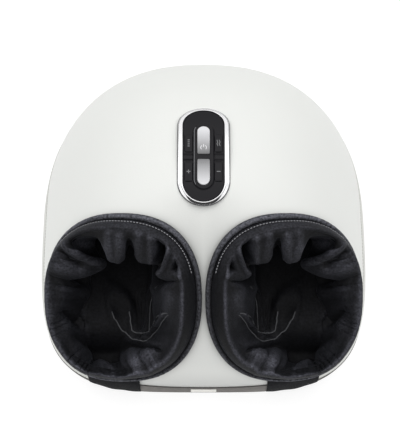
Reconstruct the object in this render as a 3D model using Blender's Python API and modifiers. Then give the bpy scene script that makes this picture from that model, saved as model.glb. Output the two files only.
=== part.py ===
"""Shiatsu foot massager: one domed body with two cloth foot mouths, kneading heads, airbags and a key panel.

Metres, +Z up. The wearer sits at -Y and faces +Y. The origin is on the floor, under the middle of the body.
"""

import math

import bmesh
import bpy
import numpy as np

# Body
HALF_WIDTH = 0.200
FRONT_REACH = 0.205
BACK_REACH = 0.2097
WIDEST_Y = -0.0005
TOP_Z = 0.225
WAIST_Z = 0.040
TUCK_DEPTH = 0.135
FRONT_SQUARE_SHARE = 3.9
BACK_SQUARE_SHARE = 2.43
FRONT_POWER_SHARE = 1.5
BACK_POWER_SHARE = 2.44
SIDE_POWER_SHARE = 2.12
TUCK_POWER_SHARE = 2.2
WALL = 0.003
CLEARANCE = 0.0003
OVERRUN = 0.050

# Feet, floor and seam
FOOT_HEIGHT = 0.004
FOOT_RADIUS = 0.012
FRONT_FOOT = (0.135, -0.1485)
BACK_FOOT = (0.095, 0.1565)
SEAM_FRONT_Z = 0.0156
SEAM_SIDE_Z = 0.088
SEAM_GAP = 0.0006
SEAM_CORE_RADIUS = 0.120

# Cover screws
SCREW_RADIUS = 0.0020
SCREW_LENGTH = 0.030
SCREW_HEAD_RADIUS = 0.0042
SCREW_HEAD_HEIGHT = 0.0022
POST_RADIUS = 0.0065
POST_JOIN_Z = 0.026
FRONT_POST = (0.172, -0.0485)
BACK_POST = (0.118, 0.1385)

# Mouths, drawn on a plane square to the way a foot goes in
ENTRY_ANGLE = math.radians(60)
MOUTH_X = 0.0940
MOUTH_RISE = -0.0525
MOUTH_HALF_WIDTH = 0.0912
MOUTH_HALF_HEIGHT = 0.0990
MOUTH_SQUARE_SHARE = 2.4
MOUTH_LIP = 0.016
MOUTH_HOLE_DEPTH = 0.012
BAND_WIDTH = 0.0105
BAND_HEIGHT = 0.0066
ROLL_WIDTH = 0.0200
ROLL_HEIGHT = 0.0125
CUFF_GAP = 0.0006
CLOTH = 0.0016
FLAP_INNER_X = 0.073
FLAP_OUTER_X = 0.136
FLAP_TUCK = 0.016
FLAP_COLUMNS = 5
FLAP_ROWS = 5

# Foot frame: the sole's plane, which rises towards the toes
SOLE_Y = -0.0085
SOLE_Z = 0.052
SOLE_ANGLE = math.radians(10)

# Gears, in the foot frame
GEAR_MODULE = 0.003
PINION_TEETH = 10
IDLER_TEETH = 17
HEAD_TEETH = 22
GEAR_BOTTOM = -0.013
GEAR_THICKNESS = 0.008
TOOTH_TIP_SHARE = 0.90
TOOTH_ROOT_SHARE = 1.20
TOOTH_TIP_HALF_SHARE = 0.38
TOOTH_ROOT_HALF_SHARE = 0.87
DECK_BOTTOM = -0.019
DECK_THICKNESS = 0.003
DECK_HALF_X = 0.146
DECK_HALF_Y = 0.103
STUB_RADIUS = 0.003
SHAFT_RADIUS = 0.005
SHAFT_TOP = 0.0082
IDLER_X = (PINION_TEETH + IDLER_TEETH) * GEAR_MODULE / 2
FOOT_X = IDLER_X + (IDLER_TEETH + HEAD_TEETH) * GEAR_MODULE / 2
HEAD_PITCH = HEAD_TEETH * GEAR_MODULE

# Kneading heads
HEAD_RADIUS = 0.027
HEAD_BOTTOM = 0.002
HEAD_DISC = 0.0055
HEAD_BOSS_RADIUS = 0.009
HEAD_BOSS_TOP = 0.0108
NODE_RADIUS = 0.0095
NODE_ORBIT = 0.0165
NODE_Z = 0.0105
NODES = 3

# Trays
TRAY_THICKNESS = 0.003
TRAY_HALF_X = 0.0595
TRAY_FRONT = -0.118
TRAY_BACK = 0.128
TRAY_HOLE_RADIUS = 0.0075
TRAY_LEG_RADIUS = 0.005
TRAY_LEG_X = 0.044
TRAY_LEG_Y = 0.096

# Foot chambers
CHAMBER_START = -0.020
CHAMBER_END = 0.112
CHAMBER_HALF_X = 0.0565
CHAMBER_TOE_HALF_X = 0.0500
CHAMBER_HEIGHT = 0.095
CHAMBER_TOE_HEIGHT = 0.084
CHAMBER_TOE_DEPTH = 0.013
CHAMBER_SQUARE_SHARE = 3.2
CHAMBER_WALL = 0.0022
AIRBAG_THICKNESS = 0.0050
AIRBAG_SPREAD = math.radians(66)
HEATER_THICKNESS = 0.0008
HEATER_SPREAD = math.radians(50)
LINER_GAP = 0.0007

# Foot sleeves
SLEEVE_HALF_X = 0.0440
SLEEVE_TOE_HALF_X = 0.0385
SLEEVE_BOTTOM = 0.0215
SLEEVE_TOP = 0.0855
SLEEVE_TOE_TOP = 0.0745
SLEEVE_START = -0.025
SLEEVE_END = 0.106
SLEEVE_RIM_INSET = 0.0270
SLEEVE_RIM_RISE = -0.0008
SLEEVE_DROP = 0.034
SLEEVE_SOLE_LEAD = 0.080
SLEEVE_ROOF_LEAD = 0.020
SLEEVE_LOWER_SQUARE_SHARE = 3.0
SLEEVE_UPPER_SQUARE_SHARE = 2.2
FOLD_DEPTH = 0.0085
FOLD_COUNT = 7

# Motor group
GEARBOX_HALF_X = 0.029
GEARBOX_HALF_Y = 0.038
GEARBOX_BOTTOM = -0.0035
GEARBOX_HEIGHT = 0.024
GEARBOX_PILLAR_RADIUS = 0.0035
GEARBOX_PILLAR_X = 0.016
GEARBOX_PILLAR_Y = 0.0335
PINION_SHAFT_TOP = -0.0040
MOTOR_RADIUS = 0.021
MOTOR_HEIGHT = 0.058
DECK_POSTS = ((0.128, -0.095), (0.052, 0.0), (0.128, 0.082))
DECK_POST_RADIUS = 0.0055

# Air pump, boards and inlet
PUMP_RADIUS = 0.0165
PUMP_LENGTH = 0.062
PUMP_Y = 0.0865
PUMP_HEAD_RADIUS = 0.011
PUMP_HEAD_LENGTH = 0.014
HOSE_RADIUS = 0.0025
BOARD_THICKNESS = 0.0016
BOARD_WIDTH = 0.066
BOARD_DEPTH = 0.050
BOARD_Y = 0.1465
STANDOFF_RADIUS = 0.003
STANDOFF_HEIGHT = 0.005
INLET_Z = 0.026
INLET_RADIUS = 0.0056
INLET_FLANGE_RADIUS = 0.0085
INLET_FLANGE = 0.002
INLET_LENGTH = 0.014
INLET_SHOULDER = 0.0052
JACK_RADIUS = 0.0030
JACK_DEPTH = 0.009
CABLE_RADIUS = 0.0020
CABLE_ALONG = 0.040
CABLE_WAY = ((0.0745, 0.188), (0.1135, 0.140), (0.1295, 0.080), (0.1415, 0.034))
HOSE_WAY = (
    (0.010, 0.0, 0.0),
    (0.022, 0.016, 0.002),
    (0.024, 0.040, 0.010),
    (0.030, 0.052, 0.034),
    (0.040, 0.049, 0.056),
    (0.0534, 0.0398, 0.072),
)

# Panel, bent round one long curve over the top of the body
PANEL_CURVE = 0.200
PANEL_Y = 0.0165
PANEL_TOP_Z = 0.2270
PANEL_MIDDLE = -0.0104
FACE_WIDTH = 0.0484
FACE_LENGTH = 0.1230
FACE_THICKNESS = 0.0025
BEZEL_SIDE = 0.0069
BEZEL_END = 0.0050
BEZEL_PROUD = 0.0015
BEZEL_ROUND = 0.0024
STATION_STEP = 0.020
FACE_GAP = 0.0006
CUP_DEPTH = 0.0150
CUP_WALL = 0.0012
POCKET_GAP = 0.0006
ISLAND_WIDTH = 0.0242
ISLAND_LENGTH = 0.0870
ISLAND_RISE = 0.0012
ISLAND_MIDDLE = -0.0140
KEY_GAP = 0.00035
KEY_PROUD = 0.0021
KEY_LIP = 0.0005
KEY_LIP_THICKNESS = 0.0020
KEY_TRAVEL = 0.0008
SILVER_WIDTH = 0.0147
SILVER_SPLIT = 0.0064
SILVER_TRIM = 0.0050
KEY_SPLIT_DROP = 0.0033
SIDE_KEY_WIDTH = 0.0090
SIDE_KEY_LENGTH = 0.0238
SIDE_KEY_X = 0.0175
SIDE_KEY_SPREAD = 0.0186
SIDE_KEY_PROUD = 0.0006
PANEL_BOARD_DROP = FACE_THICKNESS + KEY_LIP_THICKNESS + KEY_TRAVEL * 5

ROUND_STEPS = 16
HEAD_STEPS = 12
SMALL_STEPS = 8
SHAFT_STEPS = 6
BODY_TURNS = 46
BODY_RISES = 9
INNER_TURNS = 24
INNER_RISES = 5
SEAM_TURNS = 42
MOUTH_POINTS = 32
SLEEVE_POINTS = 22
HALVINGS = 40
SETTLE_PASSES = 6
SLIDE_PLACES = 400
MERGE = 0.000001
SHARP_ANGLE = math.radians(35)

SHELLS = ("base_shell", "top_cover")

parts = None
cutters = None


def clear_scene():
    """Empties the scene and makes one collection for the parts and one for the cutters."""
    global parts, cutters
    for old in list(bpy.data.objects):
        bpy.data.objects.remove(old, do_unlink=True)
    parts = bpy.data.collections.new("foot_massager")
    cutters = bpy.data.collections.new("cutters")
    bpy.context.scene.collection.children.link(parts)
    bpy.context.scene.collection.children.link(cutters)


def material(name, colour, roughness, metallic=0.0):
    made = bpy.data.materials.get(name)
    if made is None:
        made = bpy.data.materials.new(name)
        made.use_nodes = True
        shader = made.node_tree.nodes["Principled BSDF"]
        shader.inputs["Base Color"].default_value = (*colour, 1.0)
        shader.inputs["Roughness"].default_value = roughness
        shader.inputs["Metallic"].default_value = metallic
    return made


def off_white():
    return material("off_white_skin", (0.82, 0.83, 0.81), 0.45)


def band_plastic():
    return material("band_plastic", (0.40, 0.40, 0.38), 0.5)


def black_cloth():
    return material("black_cloth", (0.035, 0.036, 0.042), 0.9)


def mesh_cloth():
    return material("mesh_cloth", (0.06, 0.06, 0.065), 0.85)


def chrome():
    return material("chrome", (0.90, 0.90, 0.91), 0.08, 1.0)


def silver():
    return material("silver_key", (0.55, 0.56, 0.57), 0.3, 0.9)


def gloss_black():
    return material("gloss_black", (0.03, 0.03, 0.033), 0.2)


def dark_plastic():
    return material("dark_plastic", (0.08, 0.08, 0.085), 0.5)


def gear_plastic():
    return material("gear_plastic", (0.78, 0.76, 0.70), 0.4)


def head_plastic():
    return material("head_plastic", (0.55, 0.25, 0.16), 0.35)


def steel():
    return material("steel", (0.55, 0.56, 0.58), 0.3, 1.0)


def rubber():
    return material("rubber", (0.05, 0.05, 0.05), 0.9)


def board_green():
    return material("board_green", (0.04, 0.22, 0.10), 0.5)


def bladder():
    return material("bladder", (0.32, 0.36, 0.42), 0.6)


def heater_film():
    return material("heater_film", (0.75, 0.48, 0.12), 0.4)


def finished(name, bm, finish=None, parent=None):
    """Makes an object from a bmesh: a part if it has a finish, otherwise a cutter."""
    bmesh.ops.remove_doubles(bm, verts=bm.verts, dist=MERGE / 10)
    bmesh.ops.recalc_face_normals(bm, faces=bm.faces)
    mesh = bpy.data.meshes.new(name)
    bm.to_mesh(mesh)
    bm.free()
    piece = bpy.data.objects.new(name, mesh)
    piece.parent = parent
    if finish is None:
        cutters.objects.link(piece)
        piece.hide_render = True
        piece.display_type = "WIRE"
        return piece
    parts.objects.link(piece)
    mesh.materials.append(finish)
    mesh.shade_smooth()
    mesh.set_sharp_from_angle(angle=SHARP_ANGLE)
    return piece


def grid(bm, rings, closed=True):
    """Quads between rows of points: an array of rings by points by three. Returns the rows of vertices."""
    rows = [[bm.verts.new(point) for point in ring] for ring in rings.tolist()]
    count = len(rows[0])
    for low, high in zip(rows, rows[1:]):
        for i in range(count if closed else count - 1):
            j = (i + 1) % count
            bm.faces.new((low[i], low[j], high[j], high[i]))
    return rows


def fan(bm, ring, point):
    """Triangles from one point to a closed ring of vertices."""
    centre = bm.verts.new(point)
    for i, corner in enumerate(ring):
        bm.faces.new((corner, ring[(i + 1) % len(ring)], centre))


def ring_piece(name, rings, finish=None, parent=None):
    """A piece that closes on itself: the last ring joins the first one."""
    bm = bmesh.new()
    grid(bm, np.concatenate([rings, rings[:1]]))
    return finished(name, bm, finish, parent)


def tube_piece(name, rings, finish=None, parent=None):
    """A piece lofted through its rings, with its two ends filled."""
    bm = bmesh.new()
    rows = grid(bm, rings)
    for row, ring in ((rows[0], rings[0]), (rows[-1], rings[-1])):
        fan(bm, row, ring.mean(axis=0).tolist())
    return finished(name, bm, finish, parent)


def box(name, low, high, finish=None, parent=None):
    low, high = np.array(low), np.array(high)
    bm = bmesh.new()
    bmesh.ops.create_cube(bm, size=1.0)
    for vert in bm.verts:
        vert.co = (low + high) / 2 + np.array(vert.co) * (high - low)
    return finished(name, bm, finish, parent)


def bevelled(piece, width, segments=2):
    bevel = piece.modifiers.new("round", "BEVEL")
    bevel.width = width
    bevel.segments = segments
    bevel.limit_method = "ANGLE"
    return piece


def rod(name, radius, start, end, finish=None, parent=None, steps=SMALL_STEPS):
    """A cylinder along Z between two points that differ in height."""
    turns = np.arange(steps) * 2 * math.pi / steps
    circle = np.stack([np.cos(turns), np.sin(turns), np.zeros(steps)], axis=1) * radius
    return tube_piece(name, np.stack([circle + np.array(start), circle + np.array(end)]), finish, parent)


def turned(name, profile, finish=None, parent=None, steps=ROUND_STEPS):
    """A profile of (radius, height) pairs, top to bottom down its outer side, turned round Z."""
    bm = bmesh.new()
    verts = [bm.verts.new((radius, 0, height)) for radius, height in profile]
    closed = profile[0][0] > 0 or profile[-1][0] > 0
    for i in range(len(verts) if closed else len(verts) - 1):
        bm.edges.new((verts[i], verts[(i + 1) % len(verts)]))
    mesh = bpy.data.meshes.new(name)
    bm.to_mesh(mesh)
    bm.free()
    piece = bpy.data.objects.new(name, mesh)
    piece.parent = parent
    screw = piece.modifiers.new("turn", "SCREW")
    screw.steps = screw.render_steps = steps
    screw.use_merge_vertices = True
    screw.merge_threshold = MERGE
    if finish is None:
        cutters.objects.link(piece)
        piece.hide_render = True
        piece.display_type = "WIRE"
    else:
        parts.objects.link(piece)
        mesh.materials.append(finish)
    return piece


def combine(piece, other, operation="DIFFERENCE"):
    """Adds a Boolean. The exact solver leaves stray edges on the two shells, whose many cuts cross facets."""
    boolean = piece.modifiers.new(operation.lower(), "BOOLEAN")
    boolean.operation = operation
    boolean.object = other
    boolean.solver = "MANIFOLD" if piece.name in SHELLS else "EXACT"
    return piece


def wire(name, points, radius, finish):
    """A round tube along a smooth curve through a few chosen points."""
    curve = bpy.data.curves.new(name, "CURVE")
    curve.dimensions = "3D"
    curve.bevel_depth = radius
    curve.bevel_resolution = 1
    curve.use_fill_caps = True
    smooth = through(points, steps=3)
    spline = curve.splines.new("POLY")
    spline.points.add(len(smooth) - 1)
    for place, point in zip(spline.points, smooth.tolist()):
        place.co = (*point, 1.0)
    piece = bpy.data.objects.new(name, curve)
    parts.objects.link(piece)
    curve.materials.append(finish)
    return piece


def through(points, steps):
    """A smooth curve through the points: each stretch is a cubic whose end slopes follow the neighbours."""
    slopes = np.gradient(points, axis=0)
    s = (np.arange(steps) / steps)[:, None]
    runs = []
    for a, b, go, come in zip(points, points[1:], slopes, slopes[1:]):
        runs.append(
            a * (1 - 3 * s**2 + 2 * s**3) + b * (3 * s**2 - 2 * s**3)
            + go * (s - 2 * s**2 + s**3) + come * (s**3 - s**2)
        )
    return np.concatenate([*runs, points[-1:]])


def skin_value(points):
    """1 on the body's outer surface, less inside it: a superellipse in plan whose height is a power curve."""
    x, along, z = points[:, 0], points[:, 1] - WIDEST_Y, points[:, 2]
    plan, power = plan_value(x, along)
    rise = np.maximum(z - WAIST_Z, 0) / (TOP_Z - WAIST_Z)
    fall = np.maximum(WAIST_Z - z, 0) / TUCK_DEPTH
    above = (plan**power + rise**power) ** (1 / power)
    below = (plan**TUCK_POWER_SHARE + fall**TUCK_POWER_SHARE) ** (1 / TUCK_POWER_SHARE)
    return np.where(z > WAIST_Z, above, below)


def plan_value(x, along, grow=0.0):
    """How far out in plan a point is, and the power of the height curve on its bearing."""
    front = along < 0
    reach = np.where(front, FRONT_REACH, BACK_REACH) + grow
    square = np.where(front, FRONT_SQUARE_SHARE, BACK_SQUARE_SHARE)
    plan = (np.abs(x / (HALF_WIDTH + grow)) ** square + np.abs(along / reach) ** square) ** (1 / square)
    endwise = along**2 / np.maximum(x**2 + along**2, MERGE**2)
    end_power = np.where(front, FRONT_POWER_SHARE, BACK_POWER_SHARE)
    return plan, SIDE_POWER_SHARE + (end_power - SIDE_POWER_SHARE) * endwise


def skin_normal(points):
    """Outward unit normals: the slope of the skin's value, by small differences."""
    step = CLEARANCE
    slope = np.stack(
        [skin_value(points + axis) - skin_value(points - axis) for axis in np.eye(3) * step], axis=1
    )
    return slope / np.linalg.norm(slope, axis=1, keepdims=True)


def settle(points):
    """Moves points straight along the normal until they lie on the skin."""
    for _ in range(SETTLE_PASSES):
        normal = skin_normal(points)
        step = CLEARANCE
        slope = (skin_value(points + normal * step) - skin_value(points - normal * step)) / (2 * step)
        points = points - normal * ((skin_value(points) - 1) / slope)[:, None]
    return points


def body_form(name, grow, bottom, turns, rises, finish=None):
    """The whole body as one solid, grown or shrunk by an even amount: rings up to the crown."""
    bearing = np.arange(turns) * 2 * math.pi / turns
    compass = np.stack([np.cos(bearing), np.sin(bearing)], axis=1)
    plan, power = plan_value(compass[:, 0], compass[:, 1], grow)
    edge = compass / plan[:, None]
    middle = np.array([0, WIDEST_Y])
    rings = []
    for z in np.linspace(bottom, WAIST_Z, 4)[:-1]:
        share = (1 - ((WAIST_Z - z) / TUCK_DEPTH) ** TUCK_POWER_SHARE) ** (1 / TUCK_POWER_SHARE)
        rings.append(np.column_stack([middle + edge * share, np.full(turns, z)]))
    for lift in np.arange(rises) / rises * math.pi / 2:
        size = (math.cos(lift) ** power + math.sin(lift) ** power) ** (-1 / power)
        height = WAIST_Z + (TOP_Z + grow - WAIST_Z) * size * math.sin(lift)
        rings.append(np.column_stack([middle + edge * (size * math.cos(lift))[:, None], height]))
    bm = bmesh.new()
    rows = grid(bm, np.array(rings))
    bm.faces.new(rows[0])
    fan(bm, rows[-1], (0, WIDEST_Y, TOP_Z + grow))
    return finished(name, bm, finish)


def seam_height(bearing):
    """The seam is low at the front and climbs round the corners to the sides and back."""
    forward = np.maximum(-np.sin(bearing), 0)
    return SEAM_SIDE_Z - (SEAM_SIDE_Z - SEAM_FRONT_Z) * forward**2


def below_seam(name, shift):
    """Everything below the seam, moved up or down: its top keeps one height along each bearing."""
    turns = SEAM_TURNS
    bearing = (np.arange(turns) + 0.5) * 2 * math.pi / turns
    compass = np.stack([np.cos(bearing), np.sin(bearing)], axis=1)
    height = seam_height(bearing) + shift
    outer = HALF_WIDTH + OVERRUN
    rings = [
        np.column_stack([compass * outer, np.full(turns, -OVERRUN)]),
        np.column_stack([compass * outer, height]),
        np.column_stack([compass * SEAM_CORE_RADIUS, height]),
    ]
    bm = bmesh.new()
    rows = grid(bm, np.array(rings))
    bm.faces.new(rows[0])
    fan(bm, rows[-1], (0, 0, float(height.mean())))
    bmesh.ops.triangulate(bm, faces=bm.faces, quad_method="FIXED")
    return finished(name, bm)


class Mouth:
    """The rim of one foot mouth: points on the skin, their normals, and the way along it into the mouth."""

    def __init__(self, sign, count):
        turn = np.arange(count) * 2 * math.pi / count
        bend = 2 / MOUTH_SQUARE_SHARE
        across = MOUTH_X + MOUTH_HALF_WIDTH * np.sign(np.cos(turn)) * np.abs(np.cos(turn)) ** bend
        upward = MOUTH_RISE + MOUTH_HALF_HEIGHT * np.sign(np.sin(turn)) * np.abs(np.sin(turn)) ** bend
        drawn = np.column_stack([across, upward * math.sin(ENTRY_ANGLE), upward * math.cos(ENTRY_ANGLE)])
        self.way = np.array([0, -math.cos(ENTRY_ANGLE), math.sin(ENTRY_ANGLE)])
        slides = np.linspace(TOP_Z + OVERRUN, -OVERRUN, SLIDE_PLACES)
        values = np.array([skin_value(drawn + self.way * slide) for slide in slides])
        inside = values < 1
        hit = np.where(inside.any(axis=0), inside.argmax(axis=0), values.argmin(axis=0))
        self.turn = turn
        self.sign = sign
        self.points = settle(drawn + self.way * slides[hit][:, None])
        self.normals = skin_normal(self.points)
        along = np.roll(self.points, -1, axis=0) - np.roll(self.points, 1, axis=0)
        inward = np.cross(self.normals, along)
        self.inward = inward / np.linalg.norm(inward, axis=1, keepdims=True)

    def at(self, inset, rise):
        """The rim moved along the skin into the mouth and then straight out from the skin."""
        base = settle(self.points + self.inward * inset)
        return self.mirrored(base + skin_normal(base) * rise)

    def mirrored(self, points):
        return points * np.array([self.sign, 1, 1])

    def ring(self, name, profile, finish):
        """A ring with one cross-section all the way round, given as (inset, rise) pairs."""
        loops = np.array([self.at(inset, rise) for inset, rise in profile])
        return ring_piece(name, loops, finish)

    def cutter(self, name):
        """The hole in the shell: the rim at the lip, carried outwards past the body and a little inwards."""
        edge = self.at(MOUTH_LIP, 0)
        lean = self.mirrored(self.normals + self.way)
        lean = lean / np.linalg.norm(lean, axis=1, keepdims=True)
        rings = np.array([edge - lean * MOUTH_HOLE_DEPTH, edge, edge + lean * OVERRUN * 3])
        return tube_piece(name, rings)


def foot_frame():
    """An empty on the sole's plane, whose Z axis stands square to the soles."""
    frame = bpy.data.objects.new("foot_frame", None)
    parts.objects.link(frame)
    frame.location = (0, SOLE_Y, SOLE_Z)
    frame.rotation_euler = (SOLE_ANGLE, 0, 0)
    return frame


def from_foot_frame(points):
    """World places of points given in the foot frame."""
    x, y, z = points[..., 0], points[..., 1], points[..., 2]
    cosine, sine = math.cos(SOLE_ANGLE), math.sin(SOLE_ANGLE)
    return np.stack([x, SOLE_Y + y * cosine - z * sine, SOLE_Z + y * sine + z * cosine], axis=-1)


def deck_underside_z(y):
    """World height of the gear deck's underside above a world Y."""
    drop = DECK_BOTTOM / math.cos(SOLE_ANGLE)
    return SOLE_Z + drop + (y - SOLE_Y) * math.tan(SOLE_ANGLE)


def make_shells(mouths):
    """Base shell and top cover: one hollow body parted along the seam, with both mouths cut through."""
    hollow = body_form("hollow", -WALL, FOOT_HEIGHT + WALL, INNER_TURNS, INNER_RISES)
    holes = [mouth.cutter("mouth_hole_" + str(i)) for i, mouth in enumerate(mouths)]
    base = body_form("base_shell", 0.0, FOOT_HEIGHT, BODY_TURNS, BODY_RISES, band_plastic())
    combine(base, below_seam("base_side", -SEAM_GAP / 2), "INTERSECT")
    cover = body_form("top_cover", 0.0, FOOT_HEIGHT, BODY_TURNS, BODY_RISES, off_white())
    combine(cover, below_seam("cover_side", SEAM_GAP / 2))
    for shell in (base, cover):
        combine(shell, hollow)
        for hole in holes:
            combine(shell, hole)
    pocket = bent_stadium("pocket", PANEL_MIDDLE, face_size(POCKET_GAP), -CUP_DEPTH * 2, BEZEL_PROUD * 2)
    combine(cover, pocket)
    add_base_posts(base)
    add_cover_posts(cover)
    add_inlet_hole(base)
    return base, cover


def post_places():
    for x, y in (FRONT_POST, BACK_POST):
        for sign in (-1, 1):
            yield sign * x, y


def add_base_posts(base):
    """Posts for the cover screws, the gear deck, the pump and the driver board, all rising from the floor."""
    inside = FOOT_HEIGHT + WALL / 2
    for i, (x, y) in enumerate(post_places()):
        top = POST_JOIN_Z - CLEARANCE / 2
        combine(base, rod(f"base_post_{i}", POST_RADIUS, (x, y, inside), (x, y, top)), "UNION")
    for i, (x, y) in enumerate(DECK_POSTS):
        for sign in (-1, 1):
            y_world = SOLE_Y + y * math.cos(SOLE_ANGLE)
            top = deck_underside_z(y_world - DECK_POST_RADIUS) - CLEARANCE
            place = (sign * x, y_world)
            post = rod(f"deck_post_{i}{sign}", DECK_POST_RADIUS, (*place, inside), (*place, top))
            combine(base, post, "UNION")
    for sign in (-1, 1):
        cradle = box(
            f"pump_cradle{sign}",
            (sign * PUMP_LENGTH / 3 - WALL / 2, PUMP_Y - PUMP_RADIUS, inside),
            (sign * PUMP_LENGTH / 3 + WALL / 2, PUMP_Y + PUMP_RADIUS, pump_z()),
        )
        combine(base, cradle, "UNION")
    room = rod("pump_room", PUMP_RADIUS + CLEARANCE, (0, 0, -PUMP_LENGTH), (0, 0, PUMP_LENGTH))
    room.location = (0, PUMP_Y, pump_z())
    room.rotation_euler = (0, math.pi / 2, 0)
    combine(base, room)
    for i, (x, y) in enumerate(standoff_places()):
        top = FOOT_HEIGHT + WALL + STANDOFF_HEIGHT - CLEARANCE
        combine(base, rod(f"standoff_{i}", STANDOFF_RADIUS, (x, y, inside), (x, y, top)), "UNION")
    for i, (x, y) in enumerate(post_places()):
        recess_top = FOOT_HEIGHT + SCREW_HEAD_HEIGHT + CLEARANCE * 2
        profile = [
            (0, POST_JOIN_Z),
            (SCREW_RADIUS + CLEARANCE, POST_JOIN_Z),
            (SCREW_RADIUS + CLEARANCE, recess_top),
            (SCREW_HEAD_RADIUS + CLEARANCE, recess_top),
            (SCREW_HEAD_RADIUS + CLEARANCE, 0),
            (0, 0),
        ]
        way = turned(f"screw_way_{i}", profile, steps=SMALL_STEPS)
        way.location = (x, y, 0)
        combine(base, way)


def pump_z():
    return FOOT_HEIGHT + WALL + CLEARANCE + PUMP_RADIUS


def standoff_places():
    for sign_x in (-1, 1):
        for sign_y in (-1, 1):
            yield (
                sign_x * (BOARD_WIDTH / 2 - STANDOFF_RADIUS * 2),
                BOARD_Y + sign_y * (BOARD_DEPTH / 2 - STANDOFF_RADIUS * 2),
            )


def add_cover_posts(cover):
    """Posts under the dome that the cover screws bite into."""
    for i, (x, y) in enumerate(post_places()):
        foot = POST_JOIN_Z + CLEARANCE / 2
        out = 1 + POST_RADIUS / math.hypot(x, y)
        roof = skin_height(x * out, y * out) - WALL / 2
        combine(cover, rod(f"cover_post_{i}", POST_RADIUS, (x, y, foot), (x, y, roof)), "UNION")
        bite = rod(
            f"screw_bite_{i}",
            SCREW_RADIUS + CLEARANCE,
            (x, y, foot - WALL),
            (x, y, FOOT_HEIGHT + SCREW_LENGTH + CLEARANCE * 2),
        )
        combine(cover, bite)


def skin_height(x, y):
    """Height of the body's top skin above a point of the floor."""
    plan, power = plan_value(np.array([x]), np.array([y - WIDEST_Y]))
    return WAIST_Z + (TOP_Z - WAIST_Z) * float((1 - plan[0] ** power[0]) ** (1 / power[0]))


def back_y(z):
    """Where the back wall's outer face is at a height below the waist."""
    share = (1 - ((WAIST_Z - z) / TUCK_DEPTH) ** TUCK_POWER_SHARE) ** (1 / TUCK_POWER_SHARE)
    return WIDEST_Y + BACK_REACH * share


def add_inlet_hole(base):
    reach = OVERRUN / 2
    hole = rod("inlet_hole", INLET_RADIUS + CLEARANCE, (0, 0, -reach), (0, 0, reach), steps=ROUND_STEPS)
    hole.location = (0, back_y(INLET_Z), INLET_Z)
    hole.rotation_euler = (math.pi / 2, 0, 0)
    combine(base, hole)


def make_feet():
    for name_y, (foot_x, foot_y) in (("front", FRONT_FOOT), ("back", BACK_FOOT)):
        for name_x, sign_x in (("left", -1), ("right", 1)):
            top = FOOT_HEIGHT - CLEARANCE
            profile = [
                (0, top),
                (FOOT_RADIUS, top),
                (FOOT_RADIUS, FOOT_HEIGHT / 4),
                (FOOT_RADIUS - FOOT_HEIGHT / 4, 0),
                (0, 0),
            ]
            foot = turned(f"{name_x}_{name_y}_foot", profile, rubber(), steps=10)
            foot.location = (sign_x * foot_x, foot_y, 0)


def make_screws():
    names = ("left_front_screw", "right_front_screw", "left_back_screw", "right_back_screw")
    for name, (x, y) in zip(names, post_places()):
        low = FOOT_HEIGHT
        neck = low + SCREW_HEAD_HEIGHT
        profile = [
            (0, low + SCREW_LENGTH),
            (SCREW_RADIUS, low + SCREW_LENGTH),
            (SCREW_RADIUS, neck),
            (SCREW_HEAD_RADIUS, neck),
            (SCREW_HEAD_RADIUS, low + CLEARANCE),
            (0, low + CLEARANCE),
        ]
        screw = turned(name, profile, steel(), steps=SMALL_STEPS)
        screw.location = (x, y, 0)


def cuff_profile(start, width, height, shares):
    """A cross-section (inset, rise) from shares of its width and height, standing just off the skin."""
    return [(start + width * along, CUFF_GAP + (height - CUFF_GAP) * up) for along, up in shares]


BAND_SHARES = ((0, 0), (0.05, 0.45), (0.45, 0.88), (1, 1), (1, 0))
ROLL_SHARES = ((0, 0), (0, 0.50), (0.18, 0.84), (0.50, 1), (0.82, 0.82), (0.98, 0.35), (0.85, 0))


def make_cuffs(mouth, side):
    """The mesh band round the mouth, the padded roll inside it, and the tab that goes under the base."""
    band = cuff_profile(0, BAND_WIDTH, BAND_HEIGHT, BAND_SHARES)
    mouth.ring(f"{side}_cuff_band", band, mesh_cloth())
    roll = cuff_profile(BAND_WIDTH + CUFF_GAP, ROLL_WIDTH, ROLL_HEIGHT, ROLL_SHARES)
    mouth.ring(f"{side}_cuff_roll", roll, black_cloth())
    make_flap(mouth, side)


def make_flap(mouth, side):
    """A flat tab that hangs from the band's lower edge, follows the front wall and turns under the base."""
    edge = mouth.points[mouth.points[:, 2] < SEAM_SIDE_Z]
    edge = edge[np.argsort(edge[:, 0])]
    columns = []
    rise = CUFF_GAP + CLOTH / 2
    for x in np.linspace(FLAP_INNER_X, FLAP_OUTER_X, FLAP_COLUMNS):
        top = float(np.interp(x, edge[:, 0], edge[:, 2])) - CUFF_GAP * 2
        heights = np.linspace(top, FOOT_HEIGHT + CLOTH, FLAP_ROWS)
        wall = settle_y(np.column_stack([heights * 0 + x, heights * 0, heights]))
        wall = wall + skin_normal(wall) * rise
        under_y = wall[-1, 1] + rise + np.array([0, FLAP_TUCK / 2, FLAP_TUCK])
        under = np.column_stack([under_y * 0 + x, under_y, under_y * 0 + FOOT_HEIGHT - rise])
        columns.append(np.concatenate([wall, under]))
    bm = bmesh.new()
    grid(bm, mouth.mirrored(np.array(columns)), closed=False)
    flap = finished(f"{side}_cuff_flap", bm, black_cloth())
    flap.modifiers.new("thickness", "SOLIDIFY").thickness = CLOTH
    flap.modifiers["thickness"].offset = 0


def settle_y(points):
    """Moves points along Y until they lie on the front of the skin."""
    low = np.full(len(points), WIDEST_Y - FRONT_REACH - OVERRUN)
    high = np.full(len(points), WIDEST_Y)
    for _ in range(HALVINGS):
        middle = (low + high) / 2
        outside = skin_value(np.column_stack([points[:, 0], middle, points[:, 2]])) > 1
        low, high = np.where(outside, middle, low), np.where(outside, high, middle)
    return np.column_stack([points[:, 0], high, points[:, 2]])


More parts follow.
